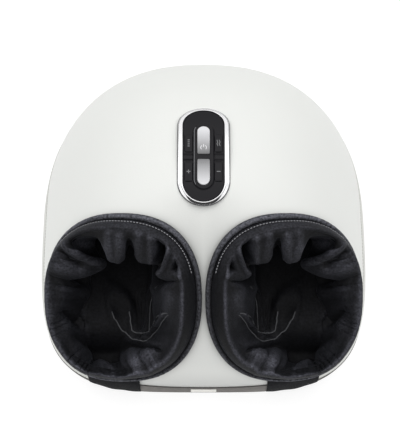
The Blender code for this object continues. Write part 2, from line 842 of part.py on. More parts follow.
def sleeve_section(turn, y):
    """The sleeve's cross-section at one place along the sole, in the foot frame: flatter below than above."""
    share = (y - SLEEVE_START) / (SLEEVE_END - SLEEVE_START)
    half_x = SLEEVE_HALF_X + (SLEEVE_TOE_HALF_X - SLEEVE_HALF_X) * share
    top = SLEEVE_TOP + (SLEEVE_TOE_TOP - SLEEVE_TOP) * share
    middle, half_z = (top + SLEEVE_BOTTOM) / 2, (top - SLEEVE_BOTTOM) / 2
    bend = 2 / np.where(np.sin(turn) < 0, SLEEVE_LOWER_SQUARE_SHARE, SLEEVE_UPPER_SQUARE_SHARE)
    x = FOOT_X + half_x * np.sign(np.cos(turn)) * np.abs(np.cos(turn)) ** bend
    z = middle + half_z * np.sign(np.sin(turn)) * np.abs(np.sin(turn)) ** bend
    return np.column_stack([x, np.full(len(turn), y), z])


def make_sleeve(mouth, side):
    """The cloth lining: it drops from the roll into the body, turns along the sole and closes at the toes."""
    rim = settle(mouth.points + mouth.inward * SLEEVE_RIM_INSET)
    rim = rim + skin_normal(rim) * SLEEVE_RIM_RISE
    first = sleeve_section(mouth.turn, SLEEVE_START)
    upward = (np.sin(mouth.turn) + 1) / 2
    lead = SLEEVE_SOLE_LEAD + (SLEEVE_ROOF_LEAD - SLEEVE_SOLE_LEAD) * upward
    entered = from_foot_frame(first - np.column_stack([lead * 0, lead, lead * 0]))
    first = from_foot_frame(first)
    dropped = rim - mouth.way * SLEEVE_DROP
    rings = []
    for s in np.linspace(0, 1, 8):
        ring = (
            rim * (1 - s) ** 3 + dropped * 3 * s * (1 - s) ** 2
            + entered * 3 * s**2 * (1 - s) + first * s**3
        )
        lobes = (1 - np.cos(FOLD_COUNT * mouth.turn + 2 * s)) / 2
        fold = FOLD_DEPTH * lobes * math.sin(math.pi * s) ** 2 * np.where(np.sin(mouth.turn) > -0.5, 1, 0.3)
        towards = ring.mean(axis=0) - ring
        towards = towards / np.linalg.norm(towards, axis=1, keepdims=True)
        rings.append(ring + towards * fold[:, None])
    for y in np.linspace(SLEEVE_START, SLEEVE_END, 3)[1:]:
        rings.append(from_foot_frame(sleeve_section(mouth.turn, y)))
    toe = sleeve_section(mouth.turn, SLEEVE_END)
    heart = toe.mean(axis=0)
    for bulge in (0.35, 0.62):
        shrunk = heart + (toe - heart) * math.cos(bulge * math.pi / 2)
        shrunk[:, 1] = SLEEVE_END + CHAMBER_TOE_DEPTH / 2 * math.sin(bulge * math.pi / 2)
        rings.append(from_foot_frame(shrunk))
    tip = from_foot_frame(np.array([[heart[0], SLEEVE_END + CHAMBER_TOE_DEPTH / 2, heart[2]]]))
    bm = bmesh.new()
    rows = grid(bm, mouth.mirrored(np.array(rings)))
    fan(bm, rows[-1], mouth.mirrored(tip)[0].tolist())
    for face in bm.faces:
        face.normal_update()
    sleeve = finished(f"{side}_foot_sleeve", bm, black_cloth())
    thickness = sleeve.modifiers.new("thickness", "SOLIDIFY")
    thickness.thickness = CLOTH
    thickness.offset = -1


def arch(name, side_sign, start, inset, thickness, spread, finish, frame, toe=False, turns=12):
    """A curved wall over the foot, inside the chamber by an inset, over a part of the half turn."""
    angles = np.linspace(math.radians(90) - spread, math.radians(90) + spread, turns)
    bend = 2 / CHAMBER_SQUARE_SHARE
    reach_x = np.sign(np.cos(angles)) * np.abs(np.cos(angles)) ** bend
    reach_z = np.abs(np.sin(angles)) ** bend
    stations = [(y, 1.0) for y in np.linspace(start, CHAMBER_END, 3)]
    if toe:
        rounds = np.array([0.4, 0.75, 1.0]) * math.pi / 2
        stations += [(CHAMBER_END + CHAMBER_TOE_DEPTH * math.sin(a), math.cos(a)) for a in rounds]
    rings = []
    for y, size in stations:
        share = min((y - CHAMBER_START) / (CHAMBER_END - CHAMBER_START), 1)
        half_x = (CHAMBER_HALF_X + (CHAMBER_TOE_HALF_X - CHAMBER_HALF_X) * share - inset) * size
        height = (CHAMBER_HEIGHT + (CHAMBER_TOE_HEIGHT - CHAMBER_HEIGHT) * share - inset) * size
        x = side_sign * (FOOT_X + half_x * reach_x)
        rings.append(np.column_stack([x, np.full(turns, y), CLEARANCE + height * reach_z]))
    bm = bmesh.new()
    grid(bm, np.array(rings), closed=False)
    bmesh.ops.remove_doubles(bm, verts=bm.verts, dist=MERGE)
    # The wall's faces all look away from the foot, so that the thickness goes on one side.
    heart = np.array([side_sign * FOOT_X, CHAMBER_START, 0])
    for face in bm.faces:
        face.normal_update()
        if np.dot(np.array(face.normal), np.array(face.calc_center_median()) - heart) < 0:
            face.normal_flip()
    mesh = bpy.data.meshes.new(name)
    bm.to_mesh(mesh)
    bm.free()
    piece = bpy.data.objects.new(name, mesh)
    piece.parent = frame
    parts.objects.link(piece)
    mesh.materials.append(finish)
    mesh.shade_smooth()
    solid = piece.modifiers.new("thickness", "SOLIDIFY")
    solid.thickness = abs(thickness)
    solid.offset = 1 if thickness > 0 else -1
    return piece


def make_chamber(side, sign, frame):
    """Chamber shell, airbag and heater film, one inside the other, each a named gap from the last."""
    half_turn = math.pi / 2
    shell = (f"{side}_chamber_shell", sign, CHAMBER_START, 0, CHAMBER_WALL, half_turn, dark_plastic())
    arch(*shell, frame, toe=True)
    start = CHAMBER_START + CHAMBER_WALL
    bag = (f"{side}_airbag", sign, start, LINER_GAP, -AIRBAG_THICKNESS, AIRBAG_SPREAD, bladder())
    arch(*bag, frame, turns=11)
    inset = LINER_GAP * 2 + AIRBAG_THICKNESS
    film = (f"{side}_heater_film", sign, start, inset, -HEATER_THICKNESS, HEATER_SPREAD, heater_film())
    arch(*film, frame, turns=9)


def gear_outline(teeth, offset):
    """Points round a gear: each tooth has straight sides from its root to its tip."""
    half_pitch = math.pi * GEAR_MODULE / 2
    root = GEAR_MODULE * (teeth / 2 - TOOTH_ROOT_SHARE)
    tip = GEAR_MODULE * (teeth / 2 + TOOTH_TIP_SHARE)
    root_half = half_pitch * TOOTH_ROOT_HALF_SHARE / 1.5 / root
    tip_half = half_pitch * TOOTH_TIP_HALF_SHARE / 1.5 / tip
    points = []
    for tooth in range(teeth):
        middle = offset + tooth * 2 * math.pi / teeth
        for radius, turn in ((root, -root_half), (tip, -tip_half), (tip, tip_half), (root, root_half)):
            points.append((radius * math.cos(middle + turn), radius * math.sin(middle + turn)))
    return np.array(points)


def meshing_offset(bearing, offset, teeth, other_teeth):
    """The turn of a second gear on a bearing from the first, so that its gap meets the first one's tooth."""
    share = ((bearing - offset) * teeth / (2 * math.pi)) % 1
    return bearing + math.pi - ((0.5 - share) % 1) * 2 * math.pi / other_teeth


def gear(name, teeth, offset, place, shaft, shaft_top, frame):
    """A gear with its shaft: a stub in the deck's bearing below, and the shaft itself above."""
    outline = gear_outline(teeth, offset)
    count = len(outline)
    top = GEAR_BOTTOM + GEAR_THICKNESS
    rings = [np.column_stack([outline, np.full(count, z)]) for z in (GEAR_BOTTOM, top)]
    bm = bmesh.new()
    rows = grid(bm, np.array(rings))
    bm.faces.new(rows[0])
    bm.faces.new(rows[1])
    piece = finished(name, bm, gear_plastic(), frame)
    piece.location = (*place, 0)
    inside = GEAR_BOTTOM + GEAR_THICKNESS / 2
    low_end = (0, 0, DECK_BOTTOM - CLEARANCE)
    low = rod(name + "_stub", STUB_RADIUS, low_end, (0, 0, inside), steps=SHAFT_STEPS)
    high = rod(name + "_shaft", shaft, (0, 0, inside), (0, 0, shaft_top), steps=SHAFT_STEPS)
    for extra in (low, high):
        extra.parent = frame
        extra.location = (*place, 0)
        combine(piece, extra, "UNION")
    return piece


def head_places():
    """Row names and places of one foot's heads, along the foot frame's Y."""
    return (("heel", -HEAD_PITCH), ("arch", 0.0), ("toe", HEAD_PITCH))


def make_gears(frame):
    """The train: a pinion in the middle, an idler to each side, and a row of three head gears in mesh."""
    gear("drive_pinion", PINION_TEETH, 0, (0, 0), SHAFT_RADIUS, PINION_SHAFT_TOP, frame)
    for side, sign in (("left", -1), ("right", 1)):
        bearing = 0 if sign > 0 else math.pi
        idler = meshing_offset(bearing, 0, PINION_TEETH, IDLER_TEETH)
        place = (sign * IDLER_X, 0)
        gear(f"{side}_idler_gear", IDLER_TEETH, idler, place, STUB_RADIUS, PINION_SHAFT_TOP, frame)
        middle = meshing_offset(bearing, idler, IDLER_TEETH, HEAD_TEETH)
        for row, y in head_places():
            offset = middle
            if y:
                offset = meshing_offset(math.copysign(math.pi / 2, y), middle, HEAD_TEETH, HEAD_TEETH)
            gear(f"{side}_{row}_gear", HEAD_TEETH, offset, (sign * FOOT_X, y), SHAFT_RADIUS, SHAFT_TOP, frame)


def make_heads(frame):
    """Kneading heads: a turned disc with a blind bore, and three round nodes on it."""
    bore = SHAFT_RADIUS + CLEARANCE
    rim = HEAD_DISC / 4
    bottom, top = HEAD_BOTTOM, HEAD_BOTTOM + HEAD_DISC
    profile = [
        (0, HEAD_BOSS_TOP),
        (HEAD_BOSS_RADIUS, HEAD_BOSS_TOP),
        (HEAD_BOSS_RADIUS + rim, top),
        (HEAD_RADIUS, top),
        (HEAD_RADIUS, bottom),
        (bore, bottom),
        (bore, SHAFT_TOP + CLEARANCE),
        (0, SHAFT_TOP + CLEARANCE),
    ]
    for side, sign in (("left", -1), ("right", 1)):
        for row, y in head_places():
            head = turned(f"{side}_{row}_head", profile, head_plastic(), frame, steps=HEAD_STEPS)
            head.location = (sign * FOOT_X, y, 0)
            for i in range(NODES):
                turn = sign * (math.pi / 2 + i * 2 * math.pi / NODES) + y / HEAD_PITCH * math.pi / 6
                node = ball(f"{side}_{row}_node_{i}", NODE_RADIUS)
                node.parent = frame
                node.location = (
                    sign * FOOT_X + NODE_ORBIT * math.cos(turn), y + NODE_ORBIT * math.sin(turn), NODE_Z,
                )
                combine(head, node, "UNION")


def ball(name, radius):
    bm = bmesh.new()
    bmesh.ops.create_uvsphere(bm, u_segments=7, v_segments=5, radius=radius)
    return finished(name, bm)


def make_deck(frame):
    """The plate under the gears, with a bearing hole for each shaft and pillars for the gearbox."""
    top = DECK_BOTTOM + DECK_THICKNESS
    low, high = (-DECK_HALF_X, -DECK_HALF_Y, DECK_BOTTOM), (DECK_HALF_X, DECK_HALF_Y, top)
    deck = box("gear_deck", low, high, dark_plastic(), frame)
    shafts = [(0, 0), (-IDLER_X, 0), (IDLER_X, 0)]
    shafts += [(sign * FOOT_X, y) for sign in (-1, 1) for _, y in head_places()]
    for sign_x in (-1, 1):
        for sign_y in (-1, 1):
            place = (sign_x * GEARBOX_PILLAR_X, sign_y * GEARBOX_PILLAR_Y)
            pillar = rod(
                f"pillar{sign_x}{sign_y}",
                GEARBOX_PILLAR_RADIUS,
                (*place, top - DECK_THICKNESS / 2),
                (*place, GEARBOX_BOTTOM - CLEARANCE),
                parent=frame,
            )
            combine(deck, pillar, "UNION")
    for i, place in enumerate(shafts):
        hole = rod(
            f"bearing_{i}",
            STUB_RADIUS + CLEARANCE,
            (*place, DECK_BOTTOM - OVERRUN),
            (*place, top + CLEARANCE),
            parent=frame,
        )
        combine(deck, hole)


def make_tray(side, sign, frame):
    """The plate under one foot, with a hole for each head's shaft, on four legs that stand on the deck."""
    low_x, high_x = sorted((sign * (FOOT_X - TRAY_HALF_X), sign * (FOOT_X + TRAY_HALF_X)))
    low, high = (low_x, TRAY_FRONT, -TRAY_THICKNESS), (high_x, TRAY_BACK, 0)
    tray = box(f"{side}_foot_tray", low, high, dark_plastic(), frame)
    foot = DECK_BOTTOM + DECK_THICKNESS + CLEARANCE
    for leg_x in (-TRAY_LEG_X, TRAY_LEG_X):
        for leg_y in (-TRAY_LEG_Y, TRAY_LEG_Y):
            place = (sign * FOOT_X + leg_x, leg_y)
            leg = rod(
                f"{side}_leg{leg_x}{leg_y}",
                TRAY_LEG_RADIUS,
                (*place, foot),
                (*place, -TRAY_THICKNESS / 2),
                parent=frame,
            )
            combine(tray, leg, "UNION")
    for row, y in head_places():
        place = (sign * FOOT_X, y)
        hole = rod(
            f"{side}_{row}_tray_hole",
            TRAY_HOLE_RADIUS,
            (*place, -TRAY_THICKNESS * 2),
            (*place, TRAY_THICKNESS),
            parent=frame,
        )
        combine(tray, hole)


def make_motor(frame):
    """The gearbox on the deck's pillars, and the motor can on top of it."""
    top = GEARBOX_BOTTOM + GEARBOX_HEIGHT
    bevelled(
        box(
            "gearbox_housing",
            (-GEARBOX_HALF_X, -GEARBOX_HALF_Y, GEARBOX_BOTTOM),
            (GEARBOX_HALF_X, GEARBOX_HALF_Y, top),
            dark_plastic(),
            frame,
        ),
        WALL,
    )
    foot = top + CLEARANCE
    step = MOTOR_RADIUS / 8
    profile = [
        (0, foot + MOTOR_HEIGHT),
        (MOTOR_RADIUS / 3, foot + MOTOR_HEIGHT),
        (MOTOR_RADIUS / 3, foot + MOTOR_HEIGHT - step),
        (MOTOR_RADIUS - step, foot + MOTOR_HEIGHT - step),
        (MOTOR_RADIUS, foot + MOTOR_HEIGHT - step * 2),
        (MOTOR_RADIUS, foot),
        (0, foot),
    ]
    turned("motor_can", profile, steel(), frame)


def make_pump():
    """The air pump lies in its cradles, with a valve head at each end for the two hoses."""
    half = PUMP_LENGTH / 2
    neck = half - PUMP_HEAD_LENGTH
    profile = [
        (0, half),
        (PUMP_HEAD_RADIUS, half),
        (PUMP_HEAD_RADIUS, neck),
        (PUMP_RADIUS, neck),
        (PUMP_RADIUS, -neck),
        (PUMP_HEAD_RADIUS, -neck),
        (PUMP_HEAD_RADIUS, -half),
        (0, -half),
    ]
    pump = turned("air_pump", profile, dark_plastic(), steps=12)
    pump.location = (0, PUMP_Y, pump_z())
    pump.rotation_euler = (0, math.pi / 2, 0)


def hose_points(sign):
    """From the pump's head outwards, back past the deck's edge, and up to the chamber shell's toe end."""
    start = np.array([PUMP_LENGTH / 2 + CLEARANCE * 2, PUMP_Y, pump_z()])
    return (start + np.array([(0, 0, 0), *HOSE_WAY])) * np.array([sign, 1, 1])


def cable_points():
    """From under the panel's cup, down behind the motor and the deck, to the driver board."""
    start = [bend(0.0, CABLE_ALONG, -CUP_DEPTH - CLEARANCE * steps) for steps in (2, 40)]
    board_top = FOOT_HEIGHT + WALL + STANDOFF_HEIGHT + BOARD_THICKNESS
    way = [(0, y, z) for y, z in CABLE_WAY]
    end = [(0, BOARD_Y, board_top + gap) for gap in (CABLE_RADIUS * 3, CLEARANCE)]
    return np.array([*start, *way, *end])


def make_boards_and_inlet():
    low = FOOT_HEIGHT + WALL + STANDOFF_HEIGHT
    box(
        "driver_board",
        (-BOARD_WIDTH / 2, BOARD_Y - BOARD_DEPTH / 2, low),
        (BOARD_WIDTH / 2, BOARD_Y + BOARD_DEPTH / 2, low + BOARD_THICKNESS),
        board_green(),
    )
    seat = back_y(INLET_Z)
    face = -CLEARANCE * 2
    shoulder = -INLET_SHOULDER
    profile = [
        (0, -INLET_LENGTH),
        (INLET_RADIUS, -INLET_LENGTH),
        (INLET_RADIUS, shoulder - INLET_FLANGE),
        (INLET_FLANGE_RADIUS, shoulder - INLET_FLANGE),
        (INLET_FLANGE_RADIUS, shoulder),
        (INLET_RADIUS, shoulder),
        (INLET_RADIUS, face),
        (JACK_RADIUS, face),
        (JACK_RADIUS, face - JACK_DEPTH),
        (0, face - JACK_DEPTH),
    ]
    inlet = turned("power_inlet", profile[::-1], dark_plastic(), steps=12)
    inlet.location = (0, seat, INLET_Z)
    inlet.rotation_euler = (-math.pi / 2, 0, 0)


def bend(x, along, rise):
    """Carries flat panel places onto the panel's curve: across, along it, and out from it."""
    angle = along / PANEL_CURVE
    radius = PANEL_CURVE + rise
    middle_z = PANEL_TOP_Z - PANEL_CURVE
    return np.stack([x, PANEL_Y + radius * np.sin(angle), middle_z + radius * np.cos(angle)], axis=-1)


def face_size(grow=0.0):
    return FACE_WIDTH + 2 * grow, FACE_LENGTH + 2 * grow


def stadium(width, length, start_round, end_round):
    """Stations along a plate and its half width at each: each end is a full round or a small one."""
    half, reach = width / 2, length / 2
    soft = half / 4
    low_radius = half if start_round else soft
    high_radius = half if end_round else soft
    turns = np.linspace(0, math.pi / 2, 5 if start_round else 3)
    low = -reach + low_radius * (1 - np.cos(turns))
    low_half = half - low_radius + low_radius * np.sin(turns)
    turns = np.linspace(math.pi / 2, 0, 5 if end_round else 3)
    high = reach - high_radius * (1 - np.cos(turns))
    high_half = half - high_radius + high_radius * np.sin(turns)
    runs = max(2, round((high[0] - low[-1]) / STATION_STEP) + 1)
    straight = np.linspace(low[-1], high[0], runs)[1:-1]
    return (
        np.concatenate([low, straight, high]),
        np.concatenate([low_half, np.full(len(straight), half), high_half]),
    )


def bent_stadium(name, middle, size, low, high, finish=None, x=0.0, ends=(True, True)):
    """A plate with round ends, bent to the panel's curve: a rectangle lofted along it to the outline."""
    stations, halves = stadium(*size, *ends)
    halves = np.maximum(halves, MERGE * 10)
    rings = []
    for station, half in zip(stations, halves):
        across = np.array([-half, half, half, -half])
        rise = np.array([low, low, high, high])
        rings.append(bend(x + across, np.full(4, middle + station), rise))
    bm = bmesh.new()
    rows = grid(bm, np.array(rings))
    bm.faces.new(rows[0])
    bm.faces.new(rows[-1])
    return finished(name, bm, finish)


def key_table():
    """Every key: name, place across, place along, size, how far it stands proud, and which ends are round."""
    split = ISLAND_MIDDLE - KEY_SPLIT_DROP
    low_end = ISLAND_MIDDLE - ISLAND_LENGTH / 2 + SILVER_TRIM
    high_end = ISLAND_MIDDLE + ISLAND_LENGTH / 2 - SILVER_TRIM
    for name, low, high, ends in (
        ("power_key", split + SILVER_SPLIT / 2, high_end, (False, True)),
        ("timer_key", low_end, split - SILVER_SPLIT / 2, (True, False)),
    ):
        yield name, 0.0, (low + high) / 2, (SILVER_WIDTH, high - low), KEY_PROUD, ends, silver()
    side_size = (SIDE_KEY_WIDTH, SIDE_KEY_LENGTH)
    for name, sign_x, sign_y in (("mode", -1, 1), ("heat", 1, 1), ("high", -1, -1), ("low", 1, -1)):
        yield (
            f"{name}_key", sign_x * SIDE_KEY_X, split + sign_y * SIDE_KEY_SPREAD, side_size,
            SIDE_KEY_PROUD, (False, False), gloss_black(),
        )


def make_panel():
    """Bezel on the skin, face and island in it, the cup and board below, and the keys through the face."""
    outer = (FACE_WIDTH + 2 * BEZEL_SIDE, FACE_LENGTH + 2 * BEZEL_END)
    bezel = bent_stadium("bezel_ring", PANEL_MIDDLE, outer, -CUP_DEPTH, BEZEL_PROUD, chrome())
    bevelled(bezel, BEZEL_ROUND, 1)
    hole = bent_stadium("bezel_hole", PANEL_MIDDLE, face_size(FACE_GAP), -OVERRUN, OVERRUN)
    combine(bezel, hole)
    combine(bezel, body_form("under_bezel", CLEARANCE, FOOT_HEIGHT, BODY_TURNS, BODY_RISES * 2))
    face = bent_stadium("panel_face", PANEL_MIDDLE, face_size(), -FACE_THICKNESS, 0, gloss_black())
    island = bent_stadium(
        "island", ISLAND_MIDDLE, (ISLAND_WIDTH, ISLAND_LENGTH), -FACE_THICKNESS / 2, ISLAND_RISE
    )
    combine(face, island, "UNION")
    cup_top = -FACE_THICKNESS - CLEARANCE
    cup = bent_stadium("panel_cup", PANEL_MIDDLE, face_size(), -CUP_DEPTH, cup_top, dark_plastic())
    room = bent_stadium("cup_room", PANEL_MIDDLE, face_size(-CUP_WALL), CUP_WALL - CUP_DEPTH, OVERRUN)
    combine(cup, room)
    board_low = -PANEL_BOARD_DROP - BOARD_THICKNESS
    for i, sign in enumerate((-1, 1)):
        place = PANEL_MIDDLE + sign * FACE_LENGTH / 3
        low, high = CUP_WALL / 2 - CUP_DEPTH, board_low - CLEARANCE
        ledge = bent_stadium(f"ledge_{i}", place, (FACE_WIDTH / 4, FACE_WIDTH / 4), low, high)
        combine(cup, ledge, "UNION")
    board_size = face_size(-CUP_WALL - CLEARANCE * 2)
    bent_stadium("control_board", PANEL_MIDDLE, board_size, board_low, -PANEL_BOARD_DROP, board_green())
    for name, x, along, size, proud, ends, finish in key_table():
        grown = (size[0] + 2 * KEY_GAP, size[1] + 2 * KEY_GAP)
        window = bent_stadium(name + "_window", along, grown, -OVERRUN / 5, OVERRUN / 5, None, x, ends)
        combine(face, window)
        key = bent_stadium(name, along, size, cup_top - KEY_LIP_THICKNESS / 2, proud, finish, x, ends)
        lip_size = (size[0] + 2 * (KEY_GAP + KEY_LIP), size[1] + 2 * (KEY_GAP + KEY_LIP))
        lip_low = cup_top - KEY_LIP_THICKNESS
        lip = bent_stadium(name + "_lip", along, lip_size, lip_low, cup_top, None, x, ends)
        combine(key, lip, "UNION")


def main():
    clear_scene()
    frame = foot_frame()
    mouths = [Mouth(-1, MOUTH_POINTS), Mouth(1, MOUTH_POINTS)]
    make_shells(mouths)
    make_feet()
    make_screws()
    for mouth, side in zip(mouths, ("left", "right")):
        make_cuffs(mouth, side)
        make_sleeve(Mouth(mouth.sign, SLEEVE_POINTS), side)
        make_chamber(side, mouth.sign, frame)
        make_tray(side, mouth.sign, frame)
        wire(f"{side}_air_hose", hose_points(mouth.sign), HOSE_RADIUS, rubber())
    make_deck(frame)
    make_gears(frame)
    make_heads(frame)
    make_motor(frame)
    make_pump()
    make_boards_and_inlet()
    make_panel()
    wire("panel_cable", cable_points(), CABLE_RADIUS, rubber())


main()
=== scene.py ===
"""Looks of the shiatsu foot massager: the leather dome, its two gathered cloth mouths, and the chrome-ringed keys.

Metres, +Z up, in the CAD's frame. The body's own curves are the CAD's formulas, so each skin lies on its shell.
"""

import math

import bmesh
import bpy
import numpy as np
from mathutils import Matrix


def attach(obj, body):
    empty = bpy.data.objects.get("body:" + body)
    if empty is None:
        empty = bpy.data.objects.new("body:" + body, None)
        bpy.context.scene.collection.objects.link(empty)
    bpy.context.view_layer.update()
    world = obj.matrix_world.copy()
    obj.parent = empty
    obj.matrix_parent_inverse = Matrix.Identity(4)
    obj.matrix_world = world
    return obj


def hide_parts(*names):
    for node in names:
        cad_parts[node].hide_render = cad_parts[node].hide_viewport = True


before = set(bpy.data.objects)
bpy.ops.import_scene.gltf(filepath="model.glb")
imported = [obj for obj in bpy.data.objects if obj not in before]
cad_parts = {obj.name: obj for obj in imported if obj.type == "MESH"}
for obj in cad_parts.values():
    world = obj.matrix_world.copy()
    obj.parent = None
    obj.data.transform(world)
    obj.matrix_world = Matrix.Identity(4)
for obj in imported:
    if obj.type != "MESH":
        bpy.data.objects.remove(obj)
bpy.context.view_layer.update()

# Body, as the CAD has it
HALF_WIDTH = 0.200
FRONT_REACH = 0.205
BACK_REACH = 0.2097
WIDEST_Y = -0.0005
TOP_Z = 0.225
WAIST_Z = 0.040
TUCK_DEPTH = 0.135
FRONT_SQUARE_SHARE = 3.9
BACK_SQUARE_SHARE = 2.43
FRONT_POWER_SHARE = 1.5
BACK_POWER_SHARE = 2.44
SIDE_POWER_SHARE = 2.12
TUCK_POWER_SHARE = 2.2
FLOOR_GAP = 0.004
SEAM_FRONT_Z = 0.0156
SEAM_SIDE_Z = 0.088
SEAM_GAP = 0.0010
BAND_FRONT_Z = 0.0285
BAND_FRONT_CURVE = 0.048
BAND_SIDE_Z = 0.0200
SKIN_STEP = 0.0003
TUBE_SIDES = 8
TUCK_ROWS = 24
DOME_LIFTS = 260

# Sheets over the body: the leather, the band and its pale plate
DOME_COLUMNS = 420
DOME_ROWS = 128
DOME_EDGE_RISES = (0, 0.0006, 0.0016, 0.0034)
DOME_OUTLINE = 0.30
DOME_EDGE_SINKS = (0.0016, 0.0007, 0.0001)
COVER_THICKNESS = 0.0024
SHEET_THICKNESS = 0.0006
SIDE_LIFT = 0.0007
SIDE_EDGE_LIFTS = (-0.0008, 0.0001, 0.0006)
SIDE_BAND_GAP = 0.0004
BAND_LIFT = 0.0009
BAND_EDGE_LIFTS = (0.0001, 0.0006)
BAND_FLOOR_GAP = 0.0001
TABS_END_X = (0.095, 0.112)
TABS_END_STRETCH = 1.1
BAND_PIPING_LIFT = 0.0008
BAND_PIPING_RADIUS = 0.0006
PLATE_Z = 0.0186
PLATE_HALF_SIZE = (0.0155, 0.0058)
PLATE_FLAT_SIZE = (0.0135, 0.0042)
PLATE_RISE = 0.0014
PLATE_CROWN = 0.0004
PLATE_ROUND = (0.0008, 0.0019)
STITCH_ABOVE_SEAM = 0.0036
STITCH_END_ANGLE = 0.42
# A thread's pitch, bead length and radius
COVER_STITCH = (0.0042, 0.0027, 0.00042)
CUFF_STITCH = (0.0038, 0.0027, 0.00055)
# Painted shade on the cover's leather, carried by its painted light attribute: a painted contact shadow beside a
# cuff, painted shade in the valley between the mouths and at the valley's neck, and painted shade low at the front.
CUFF_SHADE, CUFF_SHADE_LESS, CUFF_SHADE_REACH, CUFF_SHADE_Y = 0.85, 0.50, 0.0035, (-0.09, -0.05)
VALLEY_SHADE, VALLEY_HALF_WIDTH, VALLEY_REACH = 0.62, 0.030, 0.022
VALLEY_START_Y, VALLEY_END_Y = (-0.030, -0.085), (-0.144, -0.168)
NECK_SHADE, NECK_HALF_WIDTH, NECK_Y, NECK_HALF_LENGTH = 0.55, 0.020, -0.141, 0.013
LOW_SHADE, LOW_SHADE_Z, LOW_SHADE_Y = 0.60, (0.066, 0.026), (-0.08, -0.16)

# Power inlet: its place, the hole in the sheets, and the trim's profile as (radius, rise)
INLET_Z = 0.026
INLET_FACE = 0.20795
JACK_CUT = 0.0072
JACK_PIN = (
    (0.00002, -0.0012), (0.0005, -0.0013), (0.0008, -0.0016), (0.0009, -0.0022), (0.0009, -0.0088),
    (0.00002, -0.0088),
)
JACK_PROFILE = (
    (0.0046, 0.0003), (0.0046, 0.0016), (0.0048, 0.0021), (0.0053, 0.0024), (0.0068, 0.0023), (0.0082, 0.0019),
    (0.0090, 0.0013), (0.0092, 0.0006), (0.0092, 0.0002), (0.0060, 0.0002),
)

# Mouths
ENTRY_ANGLE = math.radians(60)
MOUTH_X = 0.0940
MOUTH_RISE = -0.0525
MOUTH_HALF_WIDTH = 0.0912
MOUTH_HALF_HEIGHT = 0.0990
MOUTH_SQUARE_SHARE = 2.4
MOUTH_POINTS = 288
COVER_CUT = 0.0026
SAG_OUT = 0.0034
SAG_TURN = math.radians(309)
SAG_WIDTH = math.radians(24)
FACING_OUT = 0.0010
PUFF = 0.35
PUFF_WIDTH = math.radians(42)
# The mesh band's width by direction: narrow outside, wide at the top and where the two cuffs face each other.
BAND_WIDTHS = (
    (0, 3.4), (35, 4.6), (65, 6.4), (95, 7.4), (130, 7.6), (165, 6.4), (200, 5.8), (240, 5.6), (275, 4.8), (310, 3.4),
)
GROOVE = 0.0016

# Foot frame and the tunnel along the sole
SOLE_Y = -0.0085
SOLE_Z = 0.052
SOLE_ANGLE = math.radians(10)
FOOT_X = 0.099

# Panel
PANEL_CURVE = 0.200
PANEL_Y = 0.0165
PANEL_TOP_Z = 0.2270
PANEL_MIDDLE = -0.0104
FACE_WIDTH = 0.0484
FACE_LENGTH = 0.1230
POCKET_MARGIN = 0.006
POCKET_LOWEST_Z = 0.15
BEZEL_SIDE = 0.0069
BEZEL_END = 0.0050
ISLAND_WIDTH = 0.0242
ISLAND_LENGTH = 0.0870
ISLAND_MIDDLE = -0.0140
ISLAND_RISE = 0.0012
ISLAND_EDGE_INSET = 0.0011
ISLAND_EDGE_WIDTH = 0.0007
SILVER_WIDTH = 0.0147
SILVER_SPLIT = 0.0064
SILVER_TRIM = 0.0050
SILVER_PROUD = 0.0021
KEY_SPLIT_DROP = 0.0033
SIDE_SIZE = (0.0090, 0.0238)
SIDE_X = 0.0175
SIDE_SHIFT = 0.0186
SIDE_PROUD = 0.0006
# Face: its first rings as insets and rises, then the island's rounding, and what is sunk beside the island, round
# the keys and along the bar between the side keys
FACE_INSETS, FACE_RISES, FACE_INNER = (0.0, 0.0001, 0.0004), (-0.0022, -0.0004, -0.0001), 0.0008
ISLAND_ROUND = (-0.0009, 0.0003)
MOAT_DEPTH, MOAT_SHIFT, MOAT_WIDTH = 0.0005, 0.0004, 0.0012
KEY_GAP, KEY_GAP_DEPTH, KEY_GAP_MORE = (0.0001, 0.0004), 0.0016, 0.0008
SILVER_SQUARE, SILVER_CORNER = 0.006, 0.0018
BAR_DEPTH, BAR_SHIFT, BAR_EDGE = 0.0014, 0.0036, (0.0005, 0.0011)
# Bezel: how far its outline stands off the face, its section's heights and its share of the ring's width, where its
# stepped end starts, and its wall. Pairs are a share of the width and a rise, and so are the gasket's.
BEZEL_GAP = 0.0004
BEZEL_CREST, BEZEL_SHOULDER, BEZEL_SHARE = 0.0012, 0.0004, 0.90
BEZEL_FACING, BEZEL_TAPER = (0.02, 0.72), (0.60, 0.92)
BEZEL_WALL = ((0.90, -0.0045), (0.90, -0.0120))
GASKET_SECTION = (
    (0.90, -0.0050), (0.90, -0.0004), (0.94, -0.0001), (0.99, -0.0003), (1.01, -0.0012), (1.01, -0.0050),
)
# The inlay's pairs: what the taper adds to its share, and how far it sinks under its rise.
INLAY_SECTION = ((0.0, 0.0006), (0.0, 0.0), (0.20, -0.0001), (0.40, 0.0), (0.40, 0.0006))
INLAY_START, INLAY_RISE, INLAY_SUNK = 0.38, -0.0007, -0.0020
# Keys: rounding of the edge, points in a corner, foot, and the dish of a silver key or the crown of a black one
KEY_ROUND, CORNER_POINTS, KEY_FOOT = 0.0006, 40, -0.0014
SILVER_DISH, BLACK_CROWN = -0.0002, 0.0001
PRINT_THICKNESS = 0.00006

